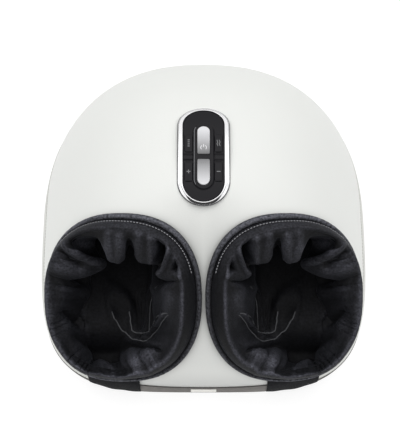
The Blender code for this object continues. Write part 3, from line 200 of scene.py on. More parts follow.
# Camera: the photograph looks down at 60 degrees from the wearer's side
CAMERA_ELEVATION = math.radians(60)
CAMERA_DISTANCE = 2.2
LOOK_Z = 0.095
LENS_MM = 160.66
SENSOR_MM = 36.0
FRAME_WIDTH_PX = 400
FRAME_HEIGHT_PX = 430
CENTRE_PX = (203.6, 212.6)
LENS_PX = LENS_MM / SENSOR_MM * FRAME_WIDTH_PX
LOOK = np.array([0, 0, LOOK_Z])
SIGHT = np.array([0, math.cos(CAMERA_ELEVATION), -math.sin(CAMERA_ELEVATION)])
UP = np.array([0, math.sin(CAMERA_ELEVATION), math.cos(CAMERA_ELEVATION)])


def set_camera():
    """The camera stands back along its line of sight, and a shift puts the body where the photograph has it."""
    data = bpy.data.cameras.new("photo_camera")
    camera = bpy.data.objects.new("photo_camera", data)
    bpy.context.scene.collection.objects.link(camera)
    back = CAMERA_DISTANCE * math.cos(CAMERA_ELEVATION)
    camera.location = (0, -back, LOOK_Z + CAMERA_DISTANCE * math.sin(CAMERA_ELEVATION))
    camera.rotation_euler = (math.pi / 2 - CAMERA_ELEVATION, 0, 0)
    data.lens = LENS_MM
    data.sensor_width = SENSOR_MM
    data.sensor_fit = "HORIZONTAL"
    data.shift_x = (FRAME_WIDTH_PX / 2 - CENTRE_PX[0]) / FRAME_WIDTH_PX
    data.shift_y = (CENTRE_PX[1] - FRAME_HEIGHT_PX / 2) / FRAME_WIDTH_PX
    bpy.context.scene.camera = camera


def photo_place(points):
    """Pixels that points fall on in the photograph: across and up over depth, times the lens in pixels."""
    offset = points - (LOOK - SIGHT * CAMERA_DISTANCE)
    scale = LENS_PX / (offset @ SIGHT)
    return CENTRE_PX[0] + offset[..., 0] * scale, CENTRE_PX[1] - (offset @ UP) * scale


# ---------------------------------------------------------------- shader groups


WEAVE_SHADE = (0.9, 0.78)
ROUGHNESS_SWING = 0.12
BUMP_STRENGTH = 0.6
FINISHES = {
    "cover_leather": (
        (0.80, 0.81, 0.785), 0.50, (9.0, 0.012),
        {"grain": (620.0, 0.00012), "rub": (0.62, 1.0), "Specular_IOR_Level": 0.42},
    ),
    # The sides' leather is the cover's, made darker: painted shade for the sides below the seam.
    "side_leather_shaded": ((0.69, 0.70, 0.665), 0.52, (11.0, 0.02), {"grain": (620.0, 0.00012), "Specular_IOR_Level": 0.4}),
    "plate": ((0.90, 0.885, 0.835), 0.50, (40.0, 0.03), {"grain": (900.0, 0.00008)}),
    "band_weave": ((0.121, 0.114, 0.107), 0.80, (120.0, 0.30), {"weave": (700.0, 0.00025, 0.8)}),
    "band_edge": ((0.085, 0.080, 0.074), 0.75, (300.0, 0.30), {}),
    "lining_cloth": (
        (0.0190, 0.0193, 0.0236), 0.64, (400.0, 1.5),
        {"weave": (900.0, 0.00030, 0.9), "laid": "Object", "rub": (0.12, 2.9), "Specular_IOR_Level": 0.16,
         "Sheen_Weight": 0.05, "Sheen_Roughness": 0.4, "Sheen_Tint": (0.75, 0.8, 0.95, 1)},
    ),
    "tab_cloth": (
        (0.0062, 0.0064, 0.0076), 0.72, (400.0, 1.2),
        {"weave": (900.0, 0.00030, 0.9), "laid": "Object", "Specular_IOR_Level": 0.05},
    ),
    # The lining's piping: lighter than the cloth, a painted highlight for the bright edges of its creases.
    "piping_highlight": ((0.070, 0.072, 0.078), 0.60, (300.0, 0.30), {}),
    "cuff_mesh": (
        (0.0275, 0.0280, 0.0325), 0.72, (380.0, 1.9),
        {"weave": (480.0, 0.00050, 1.3), "rub": (0.40, 2.35), "Specular_IOR_Level": 0.14, "Sheen_Weight": 0.04,
         "Sheen_Roughness": 0.5},
    ),
    "cuff_thread": ((0.30, 0.30, 0.32), 0.6, (300.0, 0.15), {}),
    "cover_thread": ((0.50, 0.50, 0.47), 0.6, (300.0, 0.12), {}),
    "chrome": ((0.93, 0.93, 0.94), 0.14, (30.0, 0.02), {"Metallic": 1.0}),
    "silver_key": ((0.36, 0.36, 0.37), 0.42, (60.0, 0.05), {"Metallic": 0.25, "Specular_IOR_Level": 0.35}),
    "face_black": (
        (0.0095, 0.0090, 0.0112), 0.40, (40.0, 0.10),
        {"grain": (1500.0, 0.00003), "Specular_IOR_Level": 0.20},
    ),
    "key_black": (
        (0.0100, 0.0095, 0.0118), 0.42, (60.0, 0.10),
        {"grain": (1500.0, 0.00004), "Specular_IOR_Level": 0.20},
    ),
    "print_grey": ((0.26, 0.26, 0.27), 0.5, (200.0, 0.1), {}),
    "print_dark": ((0.16, 0.16, 0.17), 0.4, (200.0, 0.1), {}),
    "print_white": ((0.80, 0.80, 0.82), 0.4, (200.0, 0.05), {}),
    "tub_plastic": ((0.30, 0.30, 0.285), 0.5, (25.0, 0.06), {"grain": (800.0, 0.0001)}),
    "dark_plastic": ((0.055, 0.055, 0.06), 0.45, (30.0, 0.12), {"grain": (900.0, 0.00008), "wear": 0.05}),
    "gear_plastic": ((0.78, 0.76, 0.68), 0.40, (60.0, 0.06), {"grain": (1200.0, 0.00004), "wear": 0.05}),
    "head_plastic": ((0.52, 0.22, 0.13), 0.33, (40.0, 0.10), {"wear": 0.08, "Subsurface_Weight": 0.05}),
    "steel": ((0.55, 0.56, 0.58), 0.32, (80.0, 0.08), {"grain": (2500.0, 0.00002), "Metallic": 1.0, "wear": 0.08}),
    "gasket": ((0.11, 0.11, 0.115), 0.60, (80.0, 0.15), {}),
    "rubber": ((0.035, 0.035, 0.036), 0.80, (60.0, 0.20), {"grain": (1400.0, 0.00008)}),
    "board_green": ((0.03, 0.16, 0.07), 0.40, (150.0, 0.25), {"grain": (600.0, 0.00006)}),
    "bladder": ((0.30, 0.34, 0.40), 0.50, (30.0, 0.10), {"grain": (500.0, 0.0001)}),
    "heater_film": ((0.72, 0.42, 0.10), 0.38, (60.0, 0.12), {"grain": (900.0, 0.00003)}),
}
# The silver keys' painted reflection, a ramp: middle, reach, and the gains at both.
SILVER_REFLECTION_RAMP = (0.0, 0.037, 0.33, 2.05)


def group(name, inputs, outputs):
    """An empty shader group with its named sockets. Returns the tree and its two end nodes."""
    tree = bpy.data.node_groups.new(name, "ShaderNodeTree")
    for title, kind, value in inputs:
        socket = tree.interface.new_socket(title, in_out="INPUT", socket_type=kind)
        socket.default_value = value
    for title, kind in outputs:
        tree.interface.new_socket(title, in_out="OUTPUT", socket_type=kind)
    return tree, tree.nodes.new("NodeGroupInput"), tree.nodes.new("NodeGroupOutput")


def add(tree, kind, settings=(), **wires):
    """One node: settings are its properties, wires its inputs by name or number, given as sockets or values."""
    node = tree.nodes.new(kind)
    for title, value in dict(settings).items():
        setattr(node, title, value)
    for title, value in wires.items():
        place = int(title[1:]) if title[0] == "i" and title[1:].isdigit() else title.replace("_", " ")
        if isinstance(value, bpy.types.NodeSocket):
            tree.links.new(value, node.inputs[place])
        else:
            node.inputs[place].default_value = value
    return node


def maths(tree, operation, *values):
    """A math node on up to three values or sockets. Returns its output."""
    wires = {f"i{place}": value for place, value in enumerate(values)}
    return add(tree, "ShaderNodeMath", {"operation": operation}, **wires).outputs[0]


def scaled(tree, colour, gain):
    """A colour times a number."""
    return add(tree, "ShaderNodeVectorMath", {"operation": "SCALE"}, i0=colour, Scale=gain).outputs[0]


def shared(tree, name, **wires):
    """One of the shared effects as a node. Returns its outputs."""
    return add(tree, "ShaderNodeGroup", {"node_tree": bpy.data.node_groups[name]}, **wires).outputs


def make_groups():
    """The effects that several finishes share: slow drift of tone, leather grain, and woven cloth."""
    vector = ("Vector", "NodeSocketVector", (0, 0, 0))
    colour = ("Colour", "NodeSocketColor", (0.5, 0.5, 0.5, 1))
    sizes = (("Size", "NodeSocketFloat", 12.0), ("Amount", "NodeSocketFloat", 0.1))
    outputs = (("Colour", "NodeSocketColor"), ("Mask", "NodeSocketFloat"))
    drift, start, end = group("tone_drift", (vector, colour, *sizes), outputs)
    given = start.outputs
    noise = add(drift, "ShaderNodeTexNoise", Vector=given["Vector"], Scale=given["Size"], Detail=4.0).outputs["Fac"]
    swing = maths(drift, "MULTIPLY_ADD", noise, 2.0, -1.0)
    gain = maths(drift, "ADD", maths(drift, "MULTIPLY", swing, given["Amount"]), 1.0)
    drift.links.new(scaled(drift, given["Colour"], gain), end.inputs["Colour"])
    drift.links.new(noise, end.inputs["Mask"])

    size = ("Size", "NodeSocketFloat", 700.0)
    grain, start, end = group("leather_grain", (vector, size), (("Height", "NodeSocketFloat"),))
    wires = {"Vector": start.outputs["Vector"], "Scale": start.outputs["Size"]}
    cells = add(grain, "ShaderNodeTexVoronoi", {"feature": "SMOOTH_F1"}, **wires)
    rough = add(grain, "ShaderNodeTexNoise", **wires, Detail=3.0)
    grain.links.new(maths(grain, "ADD", cells.outputs["Distance"], rough.outputs["Fac"]), end.inputs["Height"])

    counts = (("Threads", "NodeSocketFloat", 1600.0), ("Slub", "NodeSocketFloat", 0.4))
    outputs = (("Height", "NodeSocketFloat"), ("Shade", "NodeSocketFloat"))
    weave, start, end = group("woven_cloth", (vector, *counts), outputs)
    given = start.outputs
    parted = add(weave, "ShaderNodeSeparateXYZ", Vector=given["Vector"]).outputs
    crossing = None
    for axis, other in (("X", "Y"), ("Y", "X"), ("Z", "X")):
        slant = maths(weave, "MULTIPLY_ADD", parted[other], -0.5 if axis == "Y" else 0.5, parted[axis])
        turn = maths(weave, "MULTIPLY", maths(weave, "MULTIPLY", slant, given["Threads"]), math.tau)
        wave = maths(weave, "COSINE", turn)
        crossing = wave if crossing is None else maths(weave, "MULTIPLY", crossing, wave)
    patch = maths(weave, "MULTIPLY", given["Threads"], 0.25)
    slub = add(weave, "ShaderNodeTexNoise", Vector=given["Vector"], Scale=patch, Detail=2.0)
    uneven = maths(weave, "MULTIPLY", slub.outputs["Fac"], given["Slub"])
    height = maths(weave, "MULTIPLY_ADD", crossing, 0.5, uneven)
    weave.links.new(height, end.inputs["Height"])
    weave.links.new(maths(weave, "MULTIPLY_ADD", height, 0.5), end.inputs["Shade"])


def finish(name, colour, roughness, drift, grain=None, weave=None, laid="UV", wear=0.0, rub=None, **sockets):
    """A Principled material. drift is the tone's patch size and swing, grain (size, depth), weave (threads, depth,
    slub).

    laid is what the weave follows. wear widens the roughness's swing. The painted light argument gives the tone's
    gain for painted shade in the hollows and painted highlights on the crests, by the surface's own attribute of that
    name.
    """
    made = bpy.data.materials.new(name)
    made.use_nodes = True
    tree = made.node_tree
    shader = tree.nodes["Principled BSDF"]
    place = add(tree, "ShaderNodeTexCoord").outputs["Object"]
    drifted = shared(tree, "tone_drift", Vector=place, Colour=(*colour, 1), Size=drift[0], Amount=drift[1])
    tone = drifted["Colour"]
    height, depth = None, 0.0
    if grain:
        height, depth = shared(tree, "leather_grain", Vector=place, Size=grain[0])["Height"], grain[1]
    if weave:
        along = add(tree, "ShaderNodeTexCoord").outputs[laid]
        woven = shared(tree, "woven_cloth", Vector=along, Threads=weave[0], Slub=weave[2])
        height, depth = woven["Height"], weave[1]
        tone = scaled(tree, tone, maths(tree, "MULTIPLY_ADD", woven["Shade"], *WEAVE_SHADE))
    # Painted light and shade: the tone's gain from the surface's attribute, low in painted shade, high on painted
    # highlights.
    if rub:
        painted = add(tree, "ShaderNodeAttribute", {"attribute_name": "rub"}).outputs["Fac"]
        gain = maths(tree, "MULTIPLY", maths(tree, "POWER", rub[1] / rub[0], painted), rub[0])
        tone = scaled(tree, tone, gain)
    tree.links.new(tone, shader.inputs["Base Color"])
    swing = ROUGHNESS_SWING + wear
    dull = maths(tree, "MULTIPLY_ADD", drifted["Mask"], swing, roughness - swing / 2)
    tree.links.new(dull, shader.inputs["Roughness"])
    if height is not None:
        bumped = add(tree, "ShaderNodeBump", Height=height, Strength=BUMP_STRENGTH, Distance=depth)
        tree.links.new(bumped.outputs["Normal"], shader.inputs["Normal"])
    for title, value in sockets.items():
        shader.inputs[title.replace("_", " ")].default_value = value
    return made


def paint_reflection_ramp(made, middle, reach, low, high):
    """A painted reflection: multiplies a finish's colour by a ramp along Y that rises from low at the middle to high
    at reach.
    """
    tree = made.node_tree
    shader = tree.nodes["Principled BSDF"]
    tone = shader.inputs["Base Color"].links[0].from_socket
    place = add(tree, "ShaderNodeTexCoord").outputs["Object"]
    along = add(tree, "ShaderNodeSeparateXYZ", Vector=place).outputs["Y"]
    away = maths(tree, "ABSOLUTE", maths(tree, "SUBTRACT", along, middle))
    share = maths(tree, "MINIMUM", maths(tree, "DIVIDE", away, reach), 1.0)
    gain = maths(tree, "MULTIPLY_ADD", share, high - low, low)
    tree.links.new(scaled(tree, tone, gain), shader.inputs["Base Color"])


def make_finishes():
    """Every finish by its plain name."""
    made = {
        name: finish(name, colour, roughness, drift, **more)
        for name, (colour, roughness, drift, more) in FINISHES.items()
    }
    paint_reflection_ramp(made["silver_key"], *SILVER_REFLECTION_RAMP)
    return made


# ---------------------------------------------------------------- grids and pieces


def lay(points, closed=(False, True), keep=None, rub=None):
    """A mesh over a grid of points. Its UV map is distance along each row and down each column, in metres.

    The last argument, one value a point, is painted light and shade: low in painted shade, high on painted
    highlights.
    """
    rows, columns = points.shape[:2]
    index = np.arange(rows * columns).reshape(rows, columns)
    full = points
    if closed[0]:
        index, full = np.vstack([index, index[:1]]), np.concatenate([full, full[:1]])
    if closed[1]:
        index = np.hstack([index, index[:, :1]])
        full = np.concatenate([full, full[:, :1]], axis=1)
    quads = np.stack([index[:-1, :-1], index[:-1, 1:], index[1:, 1:], index[1:, :-1]], axis=-1)
    across = np.linalg.norm(np.diff(full, axis=1), axis=2).mean(axis=0)
    down = np.linalg.norm(np.diff(full, axis=0), axis=2).mean(axis=1)
    u = np.broadcast_to(np.concatenate([[0], np.cumsum(across)]), full.shape[:2])
    v = np.broadcast_to(np.concatenate([[0], np.cumsum(down)])[:, None], full.shape[:2])
    flat = np.stack([u, v], axis=-1)
    corners = np.stack([flat[:-1, :-1], flat[:-1, 1:], flat[1:, 1:], flat[1:, :-1]], axis=2)
    if keep is not None:
        quads, corners = quads[keep], corners[keep]
    quads = quads.reshape(-1, 4)
    mesh = bpy.data.meshes.new("skin")
    mesh.from_pydata(points.reshape(-1, 3).tolist(), [], quads.tolist())
    mesh.uv_layers.new(name="cloth").data.foreach_set("uv", corners.reshape(-1).astype(np.float32))
    if rub is not None:
        mesh.attributes.new("rub", "FLOAT", "POINT").data.foreach_set("value", rub.reshape(-1).astype(np.float32))
    return mesh


def tidy(mesh, merge=1e-6, outward=True):
    """Merges doubles, drops loose points and turns faces outwards."""
    bm = bmesh.new()
    bm.from_mesh(mesh)
    bmesh.ops.remove_doubles(bm, verts=bm.verts, dist=merge)
    bmesh.ops.delete(bm, geom=[v for v in bm.verts if not v.link_faces], context="VERTS")
    if outward:
        bmesh.ops.recalc_face_normals(bm, faces=bm.faces)
    bm.to_mesh(mesh)
    bm.free()
    return mesh


def cap_ends(mesh):
    """Fills a mesh's open ends and turns its faces outwards."""
    bm = bmesh.new()
    bm.from_mesh(mesh)
    bmesh.ops.holes_fill(bm, edges=[e for e in bm.edges if e.is_boundary], sides=0)
    bmesh.ops.recalc_face_normals(bm, faces=bm.faces)
    bm.to_mesh(mesh)
    bm.free()
    return mesh


def piece(name, mesh, look, body="housing", slot=None, nodes=(), smooth=True):
    """Names a mesh as a piece, gives it its finish, and lets it ride on a body in place of CAD nodes."""
    mesh.name = name
    made = bpy.data.objects.new(name, mesh)
    bpy.context.scene.collection.objects.link(made)
    mesh.materials.append(look)
    if smooth:
        mesh.shade_smooth()
    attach(made, body)
    if nodes:
        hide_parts(*nodes)
    return made


def thicken(made, thickness):
    """Gives a sheet its thickness, behind its faces."""
    solid = made.modifiers.new("thickness", "SOLIDIFY")
    solid.thickness = thickness
    solid.offset = -1.0


def joined(meshes):
    """One mesh from several: they're copied into one bmesh in turn."""
    bm = bmesh.new()
    for mesh in meshes:
        bm.from_mesh(mesh)
        bpy.data.meshes.remove(mesh)
    whole = bpy.data.meshes.new("whole")
    bm.to_mesh(whole)
    bm.free()
    return whole


def bell(away, width):
    """1 at no distance, and a third at the width."""
    return np.exp(-((away / width) ** 2))


def bump(turn, middle, width):
    """A bell round one direction."""
    return bell((turn - middle + math.pi) % math.tau - math.pi, width)


def smoothstep(low, high, values):
    """0 at low to 1 at high, level at both."""
    share = np.clip((values - low) / (high - low), 0, 1)
    return share * share * (3 - 2 * share)


def between(ends, share):
    """A value part of the way from one end to the other."""
    return ends[0] + (ends[1] - ends[0]) * share


def circle(count):
    """Even turns round a circle, from 0."""
    return np.arange(count) * math.tau / count


def rounded(turn, power):
    """A superellipse's cosine and sine: both raised to a power that keeps their signs."""
    cosine, sine = np.cos(turn), np.sin(turn)
    return np.sign(cosine) * np.abs(cosine) ** power, np.sign(sine) * np.abs(sine) ** power


def unit(vectors):
    """Vectors brought to length 1."""
    return vectors / np.maximum(np.linalg.norm(vectors, axis=-1, keepdims=True), 1e-12)


def travelled(points):
    """Distance gone along a line of points, or down each column of a grid of them."""
    steps = np.linalg.norm(np.diff(points, axis=0), axis=-1)
    return np.concatenate([np.zeros((1, *steps.shape[1:])), np.cumsum(steps, axis=0)])


# ---------------------------------------------------------------- the body's skin


def plan_value(x, along):
    """How far out in plan a point is, and the power of the height curve on its bearing."""
    front = along < 0
    square = np.where(front, FRONT_SQUARE_SHARE, BACK_SQUARE_SHARE)
    reach = np.where(front, FRONT_REACH, BACK_REACH)
    plan = (np.abs(x / HALF_WIDTH) ** square + np.abs(along / reach) ** square) ** (1 / square)
    endwise = along**2 / np.maximum(x**2 + along**2, 1e-12)
    end_power = np.where(front, FRONT_POWER_SHARE, BACK_POWER_SHARE)
    return plan, SIDE_POWER_SHARE + (end_power - SIDE_POWER_SHARE) * endwise


def skin_value(points):
    """1 on the body's surface, less inside it: plan and height joined by the bearing's power."""
    x, along, z = points[..., 0], points[..., 1] - WIDEST_Y, points[..., 2]
    plan, power = plan_value(x, along)
    rise = np.maximum(z - WAIST_Z, 0) / (TOP_Z - WAIST_Z)
    fall = np.maximum(WAIST_Z - z, 0) / TUCK_DEPTH
    above = (plan**power + rise**power) ** (1 / power)
    below = (plan**TUCK_POWER_SHARE + fall**TUCK_POWER_SHARE) ** (1 / TUCK_POWER_SHARE)
    return np.where(z > WAIST_Z, above, below)


def skin_normal(points):
    """Unit normals: the slope of the skin's value, by small differences."""
    steps = np.eye(3) * SKIN_STEP
    slope = np.stack([skin_value(points + axis) - skin_value(points - axis) for axis in steps], axis=-1)
    return unit(slope)


def settle(points):
    """Moves points along the normal until they lie on the skin."""
    for _ in range(6):
        normal = skin_normal(points)
        step = normal * SKIN_STEP
        slope = (skin_value(points + step) - skin_value(points - step)) / (2 * SKIN_STEP)
        points = points - normal * ((skin_value(points) - 1) / slope)[..., None]
    return points


def seam_height(bearing):
    """The seam is low at the front and climbs round the corners to the sides and back."""
    forward = np.maximum(-np.sin(bearing), 0)
    return SEAM_SIDE_Z - (SEAM_SIDE_Z - SEAM_FRONT_Z) * forward**2


def profiles(bearing):
    """The body's outline on each bearing, from the floor to the crown: the tuck below, a power curve above."""
    compass = np.stack([np.cos(bearing), np.sin(bearing)], axis=1)
    plan, power = plan_value(compass[:, 0], compass[:, 1])
    edge = compass / plan[:, None]
    middle = np.array([0, WIDEST_Y])
    z = np.linspace(FLOOR_GAP, WAIST_Z, TUCK_ROWS)[:-1, None]
    share = (1 - ((WAIST_Z - z) / TUCK_DEPTH) ** TUCK_POWER_SHARE) ** (1 / TUCK_POWER_SHARE)
    heights = np.broadcast_to(z[..., None], (len(z), len(bearing), 1))
    under = np.concatenate([middle + edge * share[..., None], heights], axis=2)
    lift = (np.linspace(0, 1, DOME_LIFTS) ** 1.2 * math.pi / 2)[:, None]
    size = (np.cos(lift) ** power + np.sin(lift) ** power) ** (-1 / power)
    height = WAIST_Z + (TOP_Z - WAIST_Z) * size * np.sin(lift)
    over = np.concatenate([middle + edge * (size * np.cos(lift))[..., None], height[..., None]], axis=2)
    return np.concatenate([under, over])


def strip(bearing, low, high, shares):
    """Rows of skin points between two heights on each bearing, at shares of the outline's length between them."""
    outline = profiles(bearing)
    length = travelled(outline)
    grid = np.empty((len(shares), len(bearing), 3))
    for i in range(len(bearing)):
        first = np.interp(low[i], outline[:, i, 2], length[:, i])
        last = length[-1, i] if high is None else np.interp(high[i], outline[:, i, 2], length[:, i])
        at = first + (last - first) * shares
        for axis in range(3):
            grid[:, i, axis] = np.interp(at, length[:, i], outline[:, i, axis])
    return grid


def skin_line(bearing, height):
    """A line of skin points at a height on each bearing."""
    return strip(bearing, height, None, np.zeros(1))[0]


def edged_shares(edge, inner, count):
    """Shares across a sheet: close rows at both edges, and even ones between."""
    edge = np.array(edge)
    return np.concatenate([edge, np.linspace(inner, 1 - inner, count), 1 - edge[::-1]])


def lifted(grid, height, ends):
    """Stands a sheet off the skin by one height, with its first and last rows at heights of their own."""
    lift = np.full(len(grid), height)
    lift[: len(ends)] = ends
    lift[-len(ends) :] = ends[::-1]
    return grid + skin_normal(grid) * lift[:, None, None]


def cell_middles(grid):
    """The middle of each cell of a grid that closes along its rows."""
    pairs = (grid[:-1] + grid[1:]) / 2
    return (pairs + np.roll(pairs, -1, axis=1)) / 2


class Mouth:
    """The rim of one foot mouth: its points on the skin, their normals, and the way along the skin into it."""

    def __init__(self):
        self.turn = turn = circle(MOUTH_POINTS)
        across, up = rounded(turn, 2 / MOUTH_SQUARE_SHARE)
        upward = MOUTH_RISE + MOUTH_HALF_HEIGHT * up
        parts = (MOUTH_X + MOUTH_HALF_WIDTH * across, upward * math.sin(ENTRY_ANGLE), upward * math.cos(ENTRY_ANGLE))
        drawn = np.column_stack(parts)
        self.way = np.array([0, -math.cos(ENTRY_ANGLE), math.sin(ENTRY_ANGLE)])
        slides = np.linspace(TOP_Z + 0.05, -0.05, 600)
        values = np.array([skin_value(drawn + self.way * slide) for slide in slides])
        inside = values < 1
        hit = np.where(inside.any(axis=0), inside.argmax(axis=0), values.argmin(axis=0))
        self.points = settle(drawn + self.way * slides[hit][:, None])
        self.normals = skin_normal(self.points)
        along = np.roll(self.points, -1, axis=0) - np.roll(self.points, 1, axis=0)
        self.along = unit(along)
        self.inward = unit(np.cross(self.normals, along))
        self.spread = SAG_OUT * bump(turn, SAG_TURN, SAG_WIDTH) + FACING_OUT * bump(turn, math.pi, SAG_WIDTH)
        self.puff = 1 + PUFF * bump(turn, math.pi, PUFF_WIDTH)
        self.band = around(BAND_WIDTHS, np.degrees(turn), 1) / 1000
        self.crest = around(ROLL_CRESTS, np.degrees(turn), 1) / 1000

    def at(self, inset, rise):
        """The rim moved along the skin into the mouth and then straight out from the skin.

        The cuff sags outwards at the lower outer corner, and it's plumper where the two cuffs face each other.
        """
        inset = inset - self.spread * np.maximum(1 - np.asarray(inset) / self.crest, 0)
        base = settle(self.points + self.inward * np.reshape(inset, (-1, 1)))
        return base + skin_normal(base) * np.reshape(rise * self.puff, (-1, 1))


MIRROR = np.array([-1, 1, 1])
SIDES = (("left", MIRROR), ("right", np.ones(3)))


def within(points, ring, way):
    """Which points lie inside a ring, seen along the way into the mouth, by distance from its middle."""
    up = np.array([0, math.sin(ENTRY_ANGLE), math.cos(ENTRY_ANGLE)])
    middle = ring.mean(axis=0)
    ring_x, ring_y = (ring - middle)[:, 0], (ring - middle) @ up
    x, y = (points - middle)[..., 0], (points - middle) @ up
    bearing = np.arctan2(ring_y, ring_x)
    order = np.argsort(bearing)
    reach = np.interp(np.arctan2(y, x), bearing[order], np.hypot(ring_x, ring_y)[order], period=math.tau)
    return (np.hypot(x, y) < reach) & (skin_normal(points) @ way > 0)


def in_mouths(points, mouth):
    """Which points lie inside the cover's cut round either mouth."""
    ring = mouth.at(mouth.band + GROOVE + COVER_CUT, 0)
    return within(points, ring, mouth.way) | within(points * MIRROR, ring, mouth.way)


def clear_of_jack(points):
    """Which points lie outside the hole round the power inlet, which make_jack_ring trims."""
    return (np.hypot(points[..., 0], points[..., 2] - INLET_Z) > JACK_CUT) | (points[..., 1] < 0)


def nearest(points, ring):
    """Distance from each point to a ring's nearest one: both squares less twice the product, then the root."""
    squares = (points**2).sum(axis=-1)[..., None] - 2 * points @ ring.T + (ring**2).sum(axis=1)
    return np.sqrt(np.maximum(squares.min(axis=-1), 0))


def panel_flat(points):
    """Places across and along the bent panel, from its circle's angle."""
    angle = np.arctan2(points[..., 1] - PANEL_Y, points[..., 2] - (PANEL_TOP_Z - PANEL_CURVE))
    return points[..., 0], angle * PANEL_CURVE


def pill_distance(x, along, middle, width, length):
    """Signed distance to a pill outline: distance to its middle line less its radius."""
    reach = (length - width) / 2
    return np.hypot(x, np.maximum(np.abs(along - middle) - reach, 0)) - width / 2


def cover_painted_shade(skin, mouth):
    """Painted shade on the cover, 1 where there is none: a painted contact shadow beside the cuffs, painted shade
    most of all between the mouths, and painted shade low at the front.
    """
    away = np.minimum(*(nearest(skin, mouth.points * mirror) for _, mirror in SIDES))
    x, y, z = skin[..., 0], skin[..., 1], skin[..., 2]
    beside = (CUFF_SHADE - CUFF_SHADE_LESS * smoothstep(*CUFF_SHADE_Y, y)) * np.exp(-away / CUFF_SHADE_REACH)
    valley = bell(x, VALLEY_HALF_WIDTH) * smoothstep(*VALLEY_START_Y, y) * (1 - smoothstep(*VALLEY_END_Y, y))
    neck = bell(x, NECK_HALF_WIDTH) * bell(y - NECK_Y, NECK_HALF_LENGTH)
    unshaded = 1 - beside - (VALLEY_SHADE * valley + NECK_SHADE * neck) * np.exp(-away / VALLEY_REACH)
    return np.clip(unshaded - LOW_SHADE * smoothstep(*LOW_SHADE_Z, z) * smoothstep(*LOW_SHADE_Y, y), 0, 1)


def make_dome(looks, mouth, bearing):
    """The leather dome above the seam: its edge turns in, and the mouths and the panel's pocket are cut out."""
    edge = np.array(DOME_EDGE_RISES) / DOME_OUTLINE
    rows = np.concatenate([edge, np.linspace(edge[-1], 1, DOME_ROWS)[1:]])
    skin = strip(bearing, seam_height(bearing) + SEAM_GAP / 2, None, rows)
    sink = np.zeros(len(rows))
    sink[: len(DOME_EDGE_SINKS)] = DOME_EDGE_SINKS
    skin = skin - skin_normal(skin) * sink[:, None, None]
    centre = cell_middles(skin)
    x, along = panel_flat(centre)
    pocket = pill_distance(x, along, PANEL_MIDDLE, FACE_WIDTH + POCKET_MARGIN, FACE_LENGTH + POCKET_MARGIN) < 0
    keep = ~in_mouths(centre, mouth) & ~(pocket & (centre[..., 2] > POCKET_LOWEST_Z))
    mesh = tidy(lay(skin, keep=keep, rub=cover_painted_shade(skin, mouth)), 2e-5)
    dome = piece("cover_leather", mesh, looks["cover_leather"], slot="off_white_skin", nodes=["top_cover"])
    thicken(dome, COVER_THICKNESS)


def band_heights(bearing):
    """The band's top by bearing, and which bearings lie behind the cuff tabs.

    The band covers the seam across the front, and drops behind the tabs to an even height.
    """
    front = np.abs(np.cos(bearing)) * HALF_WIDTH
    passed = smoothstep(*TABS_END_X, np.where(np.sin(bearing) < 0, front * TABS_END_STRETCH, HALF_WIDTH))
    top = BAND_FRONT_Z + BAND_FRONT_CURVE * (front / HALF_WIDTH) ** 2
    return top + (BAND_SIDE_Z - top) * passed, passed > 0.98


def make_side(looks, mouth, bearing, band_top, behind):
    """The leather on the base shell, from the band up to the seam, round the sides and the back: a darker copy of the
    cover's leather, painted shade for the sides.
    """
    start = int(np.argmax(np.diff(np.concatenate([[0], behind.astype(int)])) == 1))
    order = np.roll(np.arange(len(bearing)), -start)[: behind.sum()]
    top = seam_height(bearing)[order] - SEAM_GAP / 2
    shares = edged_shares((0, 0.004, 0.012), 0.03, 34)
    panel = strip(bearing[order], band_top[order] + SIDE_BAND_GAP, top, shares)
    panel = lifted(panel, SIDE_LIFT, SIDE_EDGE_LIFTS)
    middle = (panel[:-1, :-1] + panel[1:, 1:]) / 2
    keep = ~in_mouths(middle, mouth) & clear_of_jack(middle)
    mesh = tidy(lay(panel, closed=(False, False), keep=keep), outward=False)
    thicken(piece("side_leather_shaded", mesh, looks["side_leather_shaded"], slot="off_white_skin"), SHEET_THICKNESS)


def make_band(looks, bearing, band_top):
    """The woven band round the foot of the body, with a thin piping along its top."""
    low = np.full(len(bearing), FLOOR_GAP + BAND_FLOOR_GAP)
    band = strip(bearing, low, band_top, edged_shares((0, 0.04, 0.12), 0.2, 9))
    band = lifted(band, BAND_LIFT, BAND_EDGE_LIFTS)
    mesh = lay(band, keep=clear_of_jack(cell_middles(band)))
    thicken(piece("foot_band", mesh, looks["band_weave"], slot="band_plastic"), SHEET_THICKNESS)
    line = skin_line(bearing, band_top)
    line = line + skin_normal(line) * BAND_PIPING_LIFT
    cord = tube(np.concatenate([line, line[:1]]), BAND_PIPING_RADIUS)
    piece("band_piping", cord, looks["band_edge"], slot="band_plastic")


def make_body(looks, mouth):
    """The body's skins from the dome down, with the plate, the power inlet's trim and the seam's thread."""
    bearing = (np.arange(DOME_COLUMNS) + 0.5) * math.tau / DOME_COLUMNS - math.pi / 2
    band_top, behind = band_heights(bearing)
    make_dome(looks, mouth, bearing)
    make_side(looks, mouth, bearing, band_top, behind)
    make_band(looks, bearing, band_top)
    make_plate(looks)
    make_jack_ring(looks)
    make_seam(looks)


def make_jack_ring(looks):
    """The trim round the power inlet: a profile turned about its axis, resting on the back wall, and a pin."""
    angle = circle(96)
    back = np.full(len(angle), WIDEST_Y + BACK_REACH)
    rings = []
    for radius, rise in JACK_PROFILE:
        spot = settle(np.column_stack([radius * np.cos(angle), back, INLET_Z + radius * np.sin(angle)]))
        rings.append(spot + skin_normal(spot) * rise)
    ring = tidy(lay(np.array(rings), closed=(True, True)))
    piece("jack_ring", ring, looks["dark_plastic"], slot="gloss_black")
    turn = circle(24)[None, :]
    radius, back = np.array(JACK_PIN).T[..., None]
    parts = (radius * np.cos(turn), INLET_FACE + back, INLET_Z + radius * np.sin(turn))
    pin = np.stack(np.broadcast_arrays(*parts), axis=-1)
    piece("jack_pin", tidy(lay(pin), 3e-5), looks["steel"], slot="chrome")


